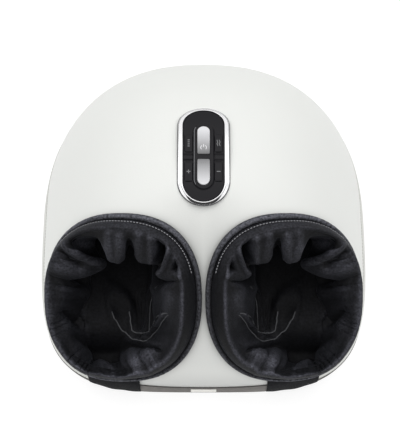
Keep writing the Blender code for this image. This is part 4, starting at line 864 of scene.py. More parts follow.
def make_plate(looks):
    """A bare pale plate on the band's front middle: a rounded rectangle that stands just off the band."""
    x = np.linspace(-PLATE_HALF_SIZE[0], PLATE_HALF_SIZE[0], 41)[None, :]
    up = np.linspace(-PLATE_HALF_SIZE[1], PLATE_HALF_SIZE[1], 17)[:, None]
    wall = settle(np.stack(np.broadcast_arrays(x, WIDEST_Y - FRONT_REACH, PLATE_Z + up), axis=-1))
    past = np.hypot(np.maximum(np.abs(x) - PLATE_FLAT_SIZE[0], 0), np.maximum(np.abs(up) - PLATE_FLAT_SIZE[1], 0))
    rise = PLATE_RISE + PLATE_CROWN * (1 - smoothstep(*PLATE_ROUND, past))
    wall = wall + skin_normal(wall) * rise[..., None]
    plate = piece("front_plate", lay(wall, closed=(False, False)), looks["plate"], slot="off_white_skin")
    thicken(plate, SHEET_THICKNESS)


def make_seam(looks):
    """Thread above the seam: small closed beads whose ends dip into the leather, spaced evenly along it."""
    bearing = np.linspace(STITCH_END_ANGLE - math.pi / 2, math.pi * 1.5 - STITCH_END_ANGLE, 4000)
    line = skin_line(bearing, seam_height(bearing) + STITCH_ABOVE_SEAM)
    thread = stitches(line, skin_normal(line), *COVER_STITCH)
    piece("cover_stitches", thread, looks["cover_thread"], slot="off_white_skin")


def stitches(line, normals, pitch, length, radius):
    """Beads along a line: each is a ring of six points swept along five stations, thin at both ends."""
    gone = travelled(line)
    middles = np.arange(pitch / 2, gone[-1] - pitch / 2, pitch)
    stations = np.array([-0.5, -0.36, 0, 0.36, 0.5])
    size = np.array([0.25, 0.85, 1.0, 0.85, 0.25])
    at = middles[:, None] + stations * length
    spine = np.stack([np.interp(at, gone, line[:, axis]) for axis in range(3)], axis=-1)
    up = np.stack([np.interp(at, gone, normals[:, axis]) for axis in range(3)], axis=-1)
    side = np.cross(unit(np.gradient(spine, axis=1)), up)
    spine = spine + up * (radius * (size - 0.55))[:, None]
    turn = circle(6)
    ring = np.cos(turn)[:, None] * side[..., None, :] + np.sin(turn)[:, None] * up[..., None, :]
    points = spine[..., None, :] + ring * (radius * size)[:, None, None]
    index = np.arange(len(middles) * 30).reshape(-1, 5, 6)
    wrapped = np.concatenate([index, index[..., :1]], axis=2)
    corners = [wrapped[:, :-1, :-1], wrapped[:, :-1, 1:], wrapped[:, 1:, 1:], wrapped[:, 1:, :-1]]
    faces = np.stack(corners, axis=-1).reshape(-1, 4).tolist()
    mesh = bpy.data.meshes.new("thread")
    mesh.from_pydata(points.reshape(-1, 3).tolist(), [], faces + index[:, 0, ::-1].tolist() + index[:, -1].tolist())
    return tidy(mesh, 1e-9)


# ---------------------------------------------------------------- cuffs and lining

# How the gathered cloth hangs inside the left mouth, as read from the photograph. Each row is a direction in
# degrees from the outer side round the mouth's middle, where the cloth that starts there ends, across and down in
# the picture's pixels, how deep it hangs, in millimetres, and how far it runs on before it falls, as a share of
# that drop. The deepest rows give the foot of the wall, where there is no edge.
MOUTH_MIDDLE_PX = (124, 295)
HANG_EDGE = (
    (0, 82, 295, 46, 0.75), (8, 80.4, 288.9, 44, 0.75), (12, 75.1, 284.6, 38, 0.75), (13.5, 62, 276, 16, 0.7),
    (15.5, 68, 278.5, 16, 0.7), (18, 80, 278, 20, 0.8), (21, 92, 275, 25, 0.8), (24.5, 101, 270.5, 28, 0.8),
    (28, 105, 267, 30, 0.8), (31.5, 104, 263.5, 30, 0.8), (35, 98, 262.5, 28, 0.8), (38, 90, 261, 25, 0.8),
    (41, 82, 257.5, 20, 0.8), (43.5, 75.5, 251.5, 15, 0.8), (45.5, 71.5, 245.5, 12, 0.7), (47.5, 71, 241, 12, 0.5),
    (51, 74, 238, 13, 0.5), (55, 80, 236, 13, 0.5), (59, 88, 235.5, 13, 0.5), (63, 96, 236.5, 14, 0.5),
    (66, 102, 239, 16, 0.6), (68.5, 104.5, 245, 22, 0.8), (70, 106, 254, 27, 0.9), (72, 108.5, 260, 29, 0.9),
    (76, 115.4, 260.6, 29, 0.9), (88, 122.8, 260, 29, 0.9), (93, 125.9, 258.1, 28, 0.9), (96, 128.9, 248.3, 25, 0.9),
    (98, 131, 245.5, 25, 0.9), (101, 132.8, 249.8, 28, 0.9), (105, 135.1, 253.5, 29, 0.9),
    (114, 140.3, 258.5, 30, 0.9), (124, 146.1, 262.3, 30, 0.9), (132, 151.4, 264.5, 30, 0.9),
    (140, 154.6, 269.3, 30, 0.9), (146, 155.9, 273.5, 31, 0.9), (153, 159.6, 276.8, 29, 0.9),
    (159, 166, 278.9, 26, 0.9), (163, 173.7, 279.8, 19, 0.8), (165.5, 183.1, 279.7, 13, 0.5),
    (169, 169.2, 286.2, 38, 0.25), (173, 161.7, 290.4, 46, 0.2), (182, 158, 296.2, 50, 0.15),
    (200, 157.8, 307.3, 54, 0.15), (220, 157.7, 323.3, 57, 0.15), (236, 152, 336.5, 50, 0.2),
    (252, 140.1, 344.5, 46, 0.4), (262, 131.5, 348.5, 50, 0.4), (268, 126.4, 363, 62, 0.1),
    (280, 111.2, 367.9, 64, 0.1), (296, 90.7, 363.3, 62, 0.1), (308, 87.1, 342.3, 60, 0.2),
    (322, 84.6, 325.8, 55, 0.5), (340, 80.8, 310.7, 50, 0.7), (352, 81.4, 301, 47, 0.75),
)
# Folds: the layer they are on, half width in pixels, height in millimetres (down where negative), and their line.
FOLDS_PX = (
    ("hang", 2.6, 3.0, ((68, 234), (76, 230), (90, 227), (104, 227))),
    ("hang", 2.6, 5.0, ((62, 242), (68, 248), (78, 256), (90, 261), (102, 264))),
    ("hang", 3.4, -6.0, ((60, 252), (68, 258), (80, 266))),
    ("hang", 5.0, 3.0, ((56, 268), (68, 271), (82, 271))),
    ("hang", 3.4, 6.0, ((109, 234), (110, 246), (112, 257))),
    ("hang", 3.4, 6.0, ((119, 236), (120, 248), (118, 258))),
    ("hang", 3.2, -15.0, ((128, 242), (130, 249), (131, 260))),
    ("hang", 6.0, 4.0, ((138, 236), (140, 248), (142, 258))),
    ("hang", 4.0, 4.0, ((150, 238), (151, 250), (152, 260))),
    ("hang", 4.4, -30.0, ((161, 244), (161, 253), (158, 266))),
    ("hang", 2.2, 13.0, ((162, 236), (169, 248), (166, 260), (160, 271))),
    ("hang", 3.0, -13.0, ((177, 262), (174, 270))),
    ("hang", 2.2, 8.0, ((181, 257), (184, 267), (181, 276))),
    ("hang", 5.0, -6.0, ((64, 312), (74, 322), (86, 324))),
    ("hang", 7.0, 4.0, ((62, 288), (76, 292), (90, 290))),
    ("hang", 4.0, -3.0, ((74, 338), (82, 345), (92, 349))),
    ("hang", 3.0, 5.0, ((98, 366), (106, 370), (114, 374))),
    ("hang", 2.4, 5.5, ((125, 345), (127, 356), (127, 368))),
    ("hang", 9.0, 5.0, ((138, 360), (148, 358), (156, 352))),
    ("hang", 3.0, -7.0, ((132, 346), (146, 348), (160, 350))),
    ("hang", 6.0, 4.0, ((170, 288), (172, 300), (168, 312))),
    ("floor", 1.8, 3.0, ((156, 286), (151, 297), (149, 315), (148, 331))),
    ("floor", 1.9, 5.0, (
        (111, 312), (117, 322), (127, 335), (137, 341), (146, 340), (155, 332), (163, 321), (167, 314),
    )),
    ("floor", 1.8, 3.5, ((129, 311), (131, 322), (132, 331), (141, 333), (148, 331))),
    ("floor", 7.0, 6.0, ((112, 296), (124, 302))),
    ("floor", 2.2, 4.5, ((106, 284), (118, 289), (127, 298), (132, 309))),
    ("floor", 2.0, -4.0, ((116, 300), (121, 310), (123, 321))),
    ("floor", 2.0, 3.5, ((108, 300), (109, 311), (113, 320))),
    ("floor", 2.2, -4.0, ((136, 300), (138, 313), (139, 326))),
)
# Piping along the lining's seams, in the same pixels. Its lighter tone is a painted highlight for the bright edges of
# the creases along them.
PIPING_PX = (
    ((156, 286), (153, 291), (151, 297), (149.5, 306), (149, 315), (148, 331)),
    (
        (112, 313), (117, 322), (121.5, 329), (127, 335), (132, 339), (137, 341), (141.5, 341.5), (146, 340),
        (155, 332), (163, 321), (167, 315),
    ),
    ((129, 311), (130, 317), (131, 322), (132, 331), (136, 333), (141, 333.5), (148, 331)),
    ((148, 331), (151, 326), (154, 319), (157, 315.5), (161, 314.5), (166, 313)),
)
# Painted light and shade where the cloth's tone departs from what its folds give: the rows of cloth meant, the place
# and the half sizes in pixels, and the change of painted light, lighter where positive and darker where negative.
TONE_SPOTS_PX = (
    ("deep", 82, 243, 17, 10, 0.85), ("hang", 90, 248, 13, 6, 0.60), ("hang", 100, 350, 13, 10, 0.13),
    ("hang", 75, 330, 8, 11, -0.12), ("hang", 141, 362, 11, 6, 0.10), ("hang", 120, 242, 8, 6, 0.06),
    ("roll", 160, 230, 11, 8, -0.12),
)
# The foam roll under the cloth: its crest's distance from the rim in millimetres, by direction in degrees. Then how
# steeply the cloth leaves it, its height, its flanks' power, and the cloth's edge and thickness.
ROLL_CRESTS = (
    (0, 16.2), (45, 17.5), (90, 19.0), (135, 21.5), (180, 23.4), (210, 21.5), (232, 19.5), (243, 21.0), (252, 17.5),
    (262, 20.5), (272, 17.0), (283, 20.0), (293, 16.8), (315, 16.2),
)
CREST_FALL = 0.30
ROLL_HEIGHT = 0.0128
ROLL_FLANK = 1.4
CLOTH_EDGE_RISE = 0.0022
CLOTH_THICKNESS = 0.0008
PIPING_RADIUS = 0.0008
PAD_SHIFT = 0.0036
PAD_SKIN = 0.0007
PAD_LOW = 0.0004
HEAD_CLEARANCE_Z = 0.0236
HEAD_CLEARANCE_SOFT = 0.002
HEAD_CLEARANCE_Y = (-0.150, -0.115)
# Rows of the lining's grid: over the roll, down to the hanging edge, from there to the tunnel, and along it.
OVER_ROWS, UPPER_ROWS, LOWER_ROWS, TUNNEL_ROWS, TOE_ROWS = 26, 61, 39, 19, 8
# The dip under the thread: its depth, and its place and width along the roll's quarter turn.
THREAD_DIP, THREAD_DIP_LIFT, THREAD_DIP_WIDTH = 0.0011, 0.62, 0.12
# Where the cloth hangs this deep it is no curtain any more, but one wall that runs on down.
CURTAIN_DEPTHS = (0.032, 0.046)
CURTAIN_ARRIVE, WALL_ARRIVE = 1.1, 0.9
CURTAIN_LEAD, WALL_LEAD, WALL_LEAD_BACK = 0.055, 0.045, np.array([0, 0.02, 0])
TUNNEL_LEADS = (0.080, 0.025)
# The tunnel along the sole, as (start, toes): half width and top; then its floor, its start and its length.
TUNNEL_HALF_X, TUNNEL_TOP = (0.0425, 0.0370), (0.0845, 0.0735)
TUNNEL_LOW, TUNNEL_START_Y, TUNNEL_LENGTH = 0.0228, -0.025, 0.131
TUNNEL_SQUARE_SHARES = (3.0, 2.2)
TOE_BULGE = 0.0062
TOE_CLOSE_SHARE = 0.002
FLOOR_LIFT = 0.003
# Gathers: how many round the mouth, the seed and the height.
GATHERS, PUCKERS = (7, 5, 0.0011), (61, 12, 0.00022)
# What makes up the lining's painted light and shade: painted highlights on crests by blur and gain, on upward faces
# and on the ridge at the mouth, painted shade and highlight on the bands beside it by their travel in metres down the
# cloth from the crest, and how much painted shade darkens the depth.
CREST_SCALE = 0.0005
CREST_TONES = ((6, 0.40), (2, 0.20))
UPWARD_TONE = 0.32
RIDGE_SHIFT, RIDGE_WIDTH = 0.0008, 0.0030
RIDGE_TONE, RIDGE_TOP_LESS, RIDGE_OUTER_LESS = 0.38, 0.30, 0.10
RIDGE_OUTER_TURN, RIDGE_OUTER_WIDTH = math.radians(320), math.radians(50)
FLANK_TONE, FLANK_TRAVEL = 0.30, (-0.0030, -0.0012)
TOP_LIP_TONE, TOP_LIP_TRAVEL, TOP_LIP_WIDTH = 0.15, 0.006, 0.006
TOP_FLANK_TONE, TOP_FLANK_TRAVEL = 0.12, 0.0005
FRONT_LIP_TONE, FRONT_LIP_TRAVEL = 0.12, (0.004, 0.012)
FRONT_LIP_TURN, FRONT_LIP_WIDTH = math.radians(262), math.radians(26)
DEEP_LOSS, BELOW_LOSS = 0.50, 0.22

# Cuff: the mesh band's section, the tape's rings as (inset, rise), and the thread's place and ends
MESH_INSET, MESH_LOW, MESH_RISE, MESH_POWER_SHARE = 0.0001, 0.0007, 0.0048, 0.75
MESH_UNDER_RISE, MESH_UNDER_SHARES = 0.0003, (0.8, 0.2)
# The mesh band's painted light, as base and gain over its top, and how much the outer side loses to painted shade.
MESH_PAINTED_LIGHT, MESH_OUTER_LESS = (0.25, 0.75), 0.42
TAPE_RINGS = ((-0.0006, 0.0008), (-0.0004, 0.0016), (0.0004, 0.0020), (0.0022, 0.0020), (0.0026, 0.0010))
THREAD_INSET, THREAD_RISE = GROOVE + 0.0016, 0.0070
THREAD_TURNS = (math.radians(24), math.radians(166))
# Tab: its sides, its line under the cuff, and how it stands off the wall, ripples and turns under
TAB_X = (0.0762, 0.1376)
TAB_INSET, TAB_START_RISE = 0.0045, 0.0068
TAB_LOW_Z = 0.0052
TAB_RISES = (0.0035, 0.0012)
TAB_RIPPLE, TAB_WAVE, TAB_RIPPLE_SHARE = (0.0005, 240), (0.0004, 90, 4), 0.6
TAB_TUCK, TAB_TUCK_ROUND, TAB_TUCK_DROP, TAB_TUCK_LOW_Z = 0.016, (0.0015, 1.2), 0.0035, 0.0017
TAB_THICKNESS = 0.0009


def around(table, direction, column):
    """One column of a table by direction in degrees, joined by straight lines and smoothed over five steps."""
    rows = np.array(table, float)
    values = np.interp(direction % 360, rows[:, 0], rows[:, column], period=360)
    padded = np.concatenate([values[-2:], values, values[:2]])
    return np.convolve(padded, np.array([1, 2, 3, 2, 1]) / 9, mode="valid")


def from_pixel(x, y, depth_plane):
    """Places under pixels of the photograph on planes square to the sight, at a depth beyond the look point."""
    scale = (CAMERA_DISTANCE + depth_plane) / LENS_PX
    across = (x - CENTRE_PX[0]) * scale
    rise = (CENTRE_PX[1] - y) * scale
    return LOOK + across[:, None] * np.array([1, 0, 0]) + rise[:, None] * UP + depth_plane[:, None] * SIGHT


def relief(points, layer):
    """Height of all the folds of one layer at each point: a rounded ridge along each fold's line in the picture."""
    x, y = photo_place(points * MIRROR)
    total = np.zeros(points.shape[:-1])
    for kind, half, height, line in FOLDS_PX:
        if kind != layer:
            continue
        away = np.full(total.shape, np.inf)
        ends = np.array(line, float)
        for (ax, ay), (bx, by) in zip(ends[:-1], ends[1:]):
            run = (bx - ax) ** 2 + (by - ay) ** 2
            share = np.clip(((x - ax) * (bx - ax) + (y - ay) * (by - ay)) / run, 0, 1)
            away = np.minimum(away, np.hypot(x - ax - share * (bx - ax), y - ay - share * (by - ay)))
        total += height / 1000 * np.exp(-((away / half) ** 2) * 1.2)
    return total


def grid_normals(points):
    """Unit normals of a grid that closes along its rows: the cross product of its two directions."""
    along = np.roll(points, -1, axis=1) - np.roll(points, 1, axis=1)
    return unit(np.cross(along, np.gradient(points, axis=0)))


def hermite(start, end, leave, arrive, shares):
    """Cubic curves between two rings of points with given end slopes, at each share."""
    s = shares[:, None, None]
    return (
        start * (1 - 3 * s**2 + 2 * s**3) + end * (3 * s**2 - 2 * s**3)
        + leave * (s - 2 * s**2 + s**3) + arrive * (s**3 - s**2)
    )


def tunnel_section(turn, share):
    """The lining's cross-section along the sole: a rounded box, flatter below, that narrows towards the toes."""
    top = between(TUNNEL_TOP, share)
    across, up = rounded(turn, 2 / np.where(np.sin(turn) < 0, *TUNNEL_SQUARE_SHARES))
    x = FOOT_X + between(TUNNEL_HALF_X, share) * across
    z = (top + TUNNEL_LOW) / 2 + (top - TUNNEL_LOW) / 2 * up
    y = np.full(len(turn), TUNNEL_START_Y + TUNNEL_LENGTH * share)
    return on_sole(np.column_stack([x, y, z]))


def on_sole(points):
    """Foot-frame places as world places: turned by the sole's slope."""
    x, y, z = points[..., 0], points[..., 1], points[..., 2]
    cosine, sine = math.cos(SOLE_ANGLE), math.sin(SOLE_ANGLE)
    return np.stack([x, SOLE_Y + y * cosine - z * sine, SOLE_Z + y * sine + z * cosine], axis=-1)


def foot_frame(points):
    """World places as foot-frame ones: the sole's slope turned back."""
    y, z = points[..., 1] - SOLE_Y, points[..., 2] - SOLE_Z
    cosine, sine = math.cos(SOLE_ANGLE), math.sin(SOLE_ANGLE)
    return np.stack([points[..., 0], y * cosine + z * sine, z * cosine - y * sine], axis=-1)


def above_heads(points):
    """Lifts the cloth over the kneading heads: its height is a soft maximum of itself and theirs."""
    own = foot_frame(points)
    z = own[..., 2]
    over = np.logaddexp(0, (z - HEAD_CLEARANCE_Z) / HEAD_CLEARANCE_SOFT)
    lifted_z = np.maximum(HEAD_CLEARANCE_Z + HEAD_CLEARANCE_SOFT * over, z)
    own[..., 2] = z + (lifted_z - z) * smoothstep(*HEAD_CLEARANCE_Y, own[..., 1])
    return on_sole(own)


def lining_grid(mouth):
    """The lining as one cloth: over the foam roll, down to its hanging edge, back under it, and on to the toes."""
    turn = mouth.turn
    start = mouth.band + GROOVE
    sewn = smoothstep(0.1, 0.3, np.sin(turn))
    over = []
    for lift in np.linspace(0, math.pi / 2, OVER_ROWS):
        inset = mouth.crest - (mouth.crest - start) * math.cos(lift) ** ROLL_FLANK
        rise = CLOTH_EDGE_RISE + (ROLL_HEIGHT - CLOTH_EDGE_RISE) * math.sin(lift) ** ROLL_FLANK
        dip = THREAD_DIP * bell(lift - THREAD_DIP_LIFT, THREAD_DIP_WIDTH) * sewn
        over.append(mouth.at(inset, rise - dip))
    crest = over[-1]
    x, y = photo_place(crest * MIRROR)
    direction = np.degrees(np.arctan2(MOUTH_MIDDLE_PX[1] - y, MOUTH_MIDDLE_PX[0] - x))
    edge_x, edge_y, depth, run_on = (around(HANG_EDGE, direction, column) for column in (1, 2, 3, 4))
    depth = depth / 1000
    hanging = from_pixel(edge_x, edge_y, (crest - LOOK) @ SIGHT + depth) * MIRROR
    curtain = (1 - smoothstep(*CURTAIN_DEPTHS, depth))[:, None]
    fall = hanging - crest
    span = np.linalg.norm(fall, axis=1, keepdims=True)
    inward = np.cross(mouth.normals, mouth.along)
    leave = (inward - mouth.normals * CREST_FALL) * span * run_on[:, None]
    arrive = curtain * SIGHT * span * CURTAIN_ARRIVE + (1 - curtain) * (fall * WALL_ARRIVE)
    go = curtain * SIGHT * CURTAIN_LEAD + (1 - curtain) * (fall / span * WALL_LEAD + WALL_LEAD_BACK)
    ahead = np.array([0, math.cos(SOLE_ANGLE), math.sin(SOLE_ANGLE)])
    come = between(TUNNEL_LEADS, (np.sin(turn) + 1) / 2)[:, None] * ahead
    upper = hermite(crest, hanging, leave, arrive, np.linspace(0, 1, UPPER_ROWS + 1)[1:])
    lower = hermite(hanging, tunnel_section(turn, 0.0), go, come, np.linspace(0, 1, LOWER_ROWS + 1)[1:])
    run = [tunnel_section(turn, share) for share in np.linspace(0, 1, TUNNEL_ROWS + 1)[1:]]
    toe, heart = run[-1], run[-1].mean(axis=0)
    caps = [
        heart + (toe - heart) * max(math.cos(angle), TOE_CLOSE_SHARE) + ahead * TOE_BULGE * math.sin(angle)
        for angle in np.linspace(0, math.pi / 2, TOE_ROWS + 1)[1:]
    ]
    return np.concatenate([over, upper, above_heads(lower), run, caps])


def gathers(turn, down, count, seed, height):
    """Small uneven gathers: three waves round the mouth whose phases drift down the cloth."""
    spread = np.random.default_rng(seed).uniform(0, math.tau, 6)
    first = np.sin(count * turn + spread[0] + 3.1 * np.sin(2 * turn + spread[1]) + 2.2 * down)
    second = np.sin(count * 1.7 * turn + spread[2] - 3.4 * down + 1.5 * np.sin(3 * turn + spread[3]))
    third = np.sin(count * 0.6 * turn + spread[4] + 5.0 * down + spread[5])
    return (0.5 * first + 0.3 * second + 0.4 * third) * height


def seam_lines(grid, first, last):
    """The piping's lines on the cloth: at each pixel of a line, the nearest grid point that faces the camera."""
    points = grid[first:last].reshape(-1, 3)
    x, y = photo_place(points * MIRROR)
    depth = points @ SIGHT
    for line in PIPING_PX:
        ends = np.array(line, float)
        gone = travelled(ends)
        at = np.linspace(0, gone[-1], max(int(gone[-1] / 1.2), 8))
        path = []
        for px, py in zip(np.interp(at, gone, ends[:, 0]), np.interp(at, gone, ends[:, 1])):
            away = np.hypot(x - px, y - py)
            near = away < max(1.6, away.min() + 0.4)
            path.append(points[np.argmin(np.where(near, depth + away * 0.0012, np.inf))])
        path = np.array(path)
        for _ in range(3):
            path[1:-1] = (path[:-2] + 2 * path[1:-1] + path[2:]) / 4
        yield path - SIGHT * PIPING_RADIUS * 0.6


def tube(path, radius):
    """A closed tube along a path: a ring of points square to it at each station, and a cap at each end."""
    ahead = unit(np.gradient(path, axis=0))
    across = unit(np.cross(ahead, np.array([0.0, 0.0, 1.0])))
    up = np.cross(across, ahead)
    turn = circle(TUBE_SIDES)[:, None]
    return cap_ends(lay(path[:, None] + radius * (np.cos(turn) * across[:, None] + np.sin(turn) * up[:, None])))


def blurred(values, times):
    """Averages each value with its neighbours on the grid, which closes along its rows, a number of times."""
    for _ in range(times):
        values = (np.roll(values, 1, axis=1) + 2 * values + np.roll(values, -1, axis=1)) / 4
        padded = np.concatenate([values[:1], values, values[-1:]])
        values = (padded[:-2] + 2 * values + padded[2:]) / 4
    return values


def crests(grid, normals, times):
    """0 in a hollow to 1 on a crest: how far each point stands over the blurred cloth, against the usual amount."""
    over = ((grid - blurred(grid, times * times)) * normals).sum(axis=-1)
    return np.clip(0.5 + over / (CREST_SCALE * times), 0, 1)


def on_floor(turn):
    """1 under the foot, 0 over it."""
    return 1 - smoothstep(-0.05, 0.35, np.sin(turn))


def fold(grid, turn, over, edge, start):
    """The cloth moved along its normals by the photograph's folds and small gathers. Returns it and its normals."""
    normals = grid_normals(grid)
    into = grid[over:].mean(axis=1, keepdims=True) - grid[over:]
    normals = normals * np.sign((normals[over:] * into).sum(axis=-1).mean())
    rows = len(grid)
    row = np.arange(rows)[:, None]
    hang = smoothstep(over - 6, over + 8, row) * (1 - smoothstep(edge + 2, edge + 16, row))
    floor = on_floor(turn) * smoothstep(over + 16, over + 30, row) * (1 - smoothstep(start + 4, start + 16, row))
    height = hang * relief(grid, "hang") + floor * (relief(grid, "floor") + FLOOR_LIFT)
    calm = smoothstep(over - 4, over + 20, row) * (1 - smoothstep(edge + 2, edge + 14, row) * 0.85)
    small = gathers(turn, np.maximum(row - over, 0) / rows * 6, *GATHERS)
    height = height + small * calm * (1 - smoothstep(start + 8, rows, row))
    height = height + bell(row - over * 0.35, over * 0.22) * gathers(turn, row / rows, *PUCKERS)
    grid = above_heads(grid + normals * blurred(height, 1)[..., None])
    fresh = grid_normals(grid)
    return grid, fresh * np.sign((fresh * normals).sum())


def cloth_painted_light(grid, normals, turn, over, edge):
    """The lining's painted light and shade: painted highlights on crests, upward faces and the mouth's ridge, painted
    shade beside it and in the depth.
    """
    row = np.arange(len(grid))[:, None]
    travel = travelled(grid)
    travel = travel - travel[over]
    deep = smoothstep(over + (edge - over) * 0.55, edge + 6, row)
    below = smoothstep(edge + 2, edge + 14, row) * on_floor(turn)
    top = np.clip(np.sin(turn), 0, 1)
    rub = np.clip(normals[..., 2], 0, 1) ** 3 * UPWARD_TONE
    for times, gain in CREST_TONES:
        rub = rub + crests(grid, normals, times) * gain
    outer = bump(turn, RIDGE_OUTER_TURN, RIDGE_OUTER_WIDTH)
    ridge = bell(travel - RIDGE_SHIFT, RIDGE_WIDTH)
    rub = rub + ridge * (RIDGE_TONE - RIDGE_TOP_LESS * top - RIDGE_OUTER_LESS * outer)
    rub = rub - FLANK_TONE * (1 - smoothstep(*FLANK_TRAVEL, travel)) * (1 - smoothstep(0.1, 0.6, np.sin(turn)))
    rub = rub - TOP_LIP_TONE * bell(travel - TOP_LIP_TRAVEL, TOP_LIP_WIDTH) * top
    rub = rub - TOP_FLANK_TONE * (travel < TOP_FLANK_TRAVEL) * top
    front = smoothstep(*FRONT_LIP_TRAVEL, travel) * (1 - deep) * bump(turn, FRONT_LIP_TURN, FRONT_LIP_WIDTH)
    rub = (rub + FRONT_LIP_TONE * front) * (1 - DEEP_LOSS * deep - BELOW_LOSS * below)
    x, y = photo_place(grid * MIRROR)
    layers = {"roll": row <= over, "hang": (row > over) & (row < edge), "deep": row >= edge}
    for layer, middle_x, middle_y, half_x, half_y, change in TONE_SPOTS_PX:
        rub = rub + change * bell(x - middle_x, half_x) * bell(y - middle_y, half_y) * layers[layer]
    return np.clip(rub, 0, 1)


def make_lining(looks, mouth):
    """Both linings and the piping along their seams. The flat size is the cloth's own area over its own length."""
    grid = lining_grid(mouth)
    over, edge, start = OVER_ROWS, OVER_ROWS + UPPER_ROWS, OVER_ROWS + UPPER_ROWS + LOWER_ROWS
    turn = np.broadcast_to(mouth.turn, grid.shape[:2])
    grid, normals = fold(grid, turn, over, edge, start)
    rub = cloth_painted_light(grid, normals, turn, over, edge)
    depth = float(travelled(grid)[-1].mean())
    for side, mirror in SIDES:
        mesh = tidy(lay(grid * mirror, rub=rub), outward=False)
        if mirror[0] > 0:
            mesh.flip_normals()
        nodes = [f"{side}_foot_sleeve"]
        cloth = piece(f"{side}_lining", mesh, looks["lining_cloth"], slot="black_cloth", nodes=nodes)
        thicken(cloth, CLOTH_THICKNESS)
        tubes = [tube(seam * mirror, PIPING_RADIUS) for seam in seam_lines(grid, over + 20, start)]
        piece(f"{side}_lining_piping", joined(tubes), looks["piping_highlight"], slot="black_cloth")


def arc(count, start, end):
    """Angles in radians from one to another in degrees."""
    return np.linspace(math.radians(start), math.radians(end), count)


def mesh_band(mouth):
    """The mesh band's rings and painted light: half an ellipse over the skin, flat underneath; a painted highlight
    along its top, painted shade underneath, and darker at the outer side.
    """
    rings, rub = [], []
    for a in arc(22, 180, 0):
        inset = mouth.band * (0.5 + 0.5 * math.cos(a)) + MESH_INSET
        rings.append(mouth.at(inset, MESH_LOW + MESH_RISE * math.sin(a) ** MESH_POWER_SHARE))
        rub.append(MESH_PAINTED_LIGHT[0] + MESH_PAINTED_LIGHT[1] * math.sin(a))
    for share in MESH_UNDER_SHARES:
        rings.append(mouth.at(mouth.band * share, MESH_UNDER_RISE))
        rub.append(0.0)
    outer = smoothstep(-0.2, 0.7, -np.cos(mouth.turn)) * (1 - smoothstep(0.2, 0.8, np.sin(mouth.turn)))
    return np.array(rings), np.array(rub)[:, None] * (1 - MESH_OUTER_LESS * outer)


def foam_roll(mouth):
    """The foam roll's rings, under the cloth: a half superellipse over the skin, flat underneath."""
    slim = CLOTH_THICKNESS + PAD_SKIN
    start = mouth.band + GROOVE + slim
    middle = mouth.crest - PAD_SHIFT
    rings = []
    for a in arc(22, 180, 0):
        reach = middle - start if a > math.pi / 2 else PAD_SHIFT * 0.7
        inset = middle + reach * math.copysign(abs(math.cos(a)) ** ROLL_FLANK, math.cos(a))
        height = (ROLL_HEIGHT - slim * 1.6 - PAD_LOW) * max(math.sin(a), 0) ** ROLL_FLANK
        rings.append(mouth.at(inset, PAD_LOW + height))
    return np.array(rings)


def make_cuffs(looks, mouth):
    """Each cuff: the mesh band, the padded roll beside it, the tape sunk between them, the thread and the tab."""
    mesh_rings, mesh_painted_light = mesh_band(mouth)
    roll = foam_roll(mouth)
    tape = np.array([mouth.at(mouth.band + inset, rise) for inset, rise in TAPE_RINGS])
    sewn = (mouth.turn > THREAD_TURNS[0]) & (mouth.turn < THREAD_TURNS[1])
    line, normals = mouth.at(mouth.band + THREAD_INSET, THREAD_RISE)[sewn], mouth.normals[sewn]
    for side, mirror in SIDES:
        band = tidy(lay(mesh_rings * mirror, closed=(True, True), rub=mesh_painted_light))
        piece(f"{side}_cuff_mesh", band, looks["cuff_mesh"], slot="mesh_cloth", nodes=[f"{side}_cuff_band"])
        pad = tidy(lay(roll * mirror, closed=(True, True)))
        pad = piece(f"{side}_cuff_pad", pad, looks["tab_cloth"], slot="black_cloth", nodes=[f"{side}_cuff_roll"])
        strap = tidy(lay(tape * mirror, closed=(True, True)))
        piece(f"{side}_cuff_tape", strap, looks["tab_cloth"], slot="mesh_cloth")
        thread = stitches(line * mirror, normals * mirror, *CUFF_STITCH)
        piece(f"{side}_cuff_stitches", thread, looks["cuff_thread"], slot="black_cloth")
        make_tab(looks, mouth, side, mirror)


def front_wall(x, z):
    """The front skin at places across and heights: halving the stretch between outside and inside."""
    low, high = np.full(x.shape, -0.30), np.full(x.shape, WIDEST_Y)
    for _ in range(40):
        middle = (low + high) / 2
        outside = skin_value(np.stack([x, middle, z], axis=-1)) > 1
        low, high = np.where(outside, middle, low), np.where(outside, high, middle)
    return np.stack([x, high, z], axis=-1)


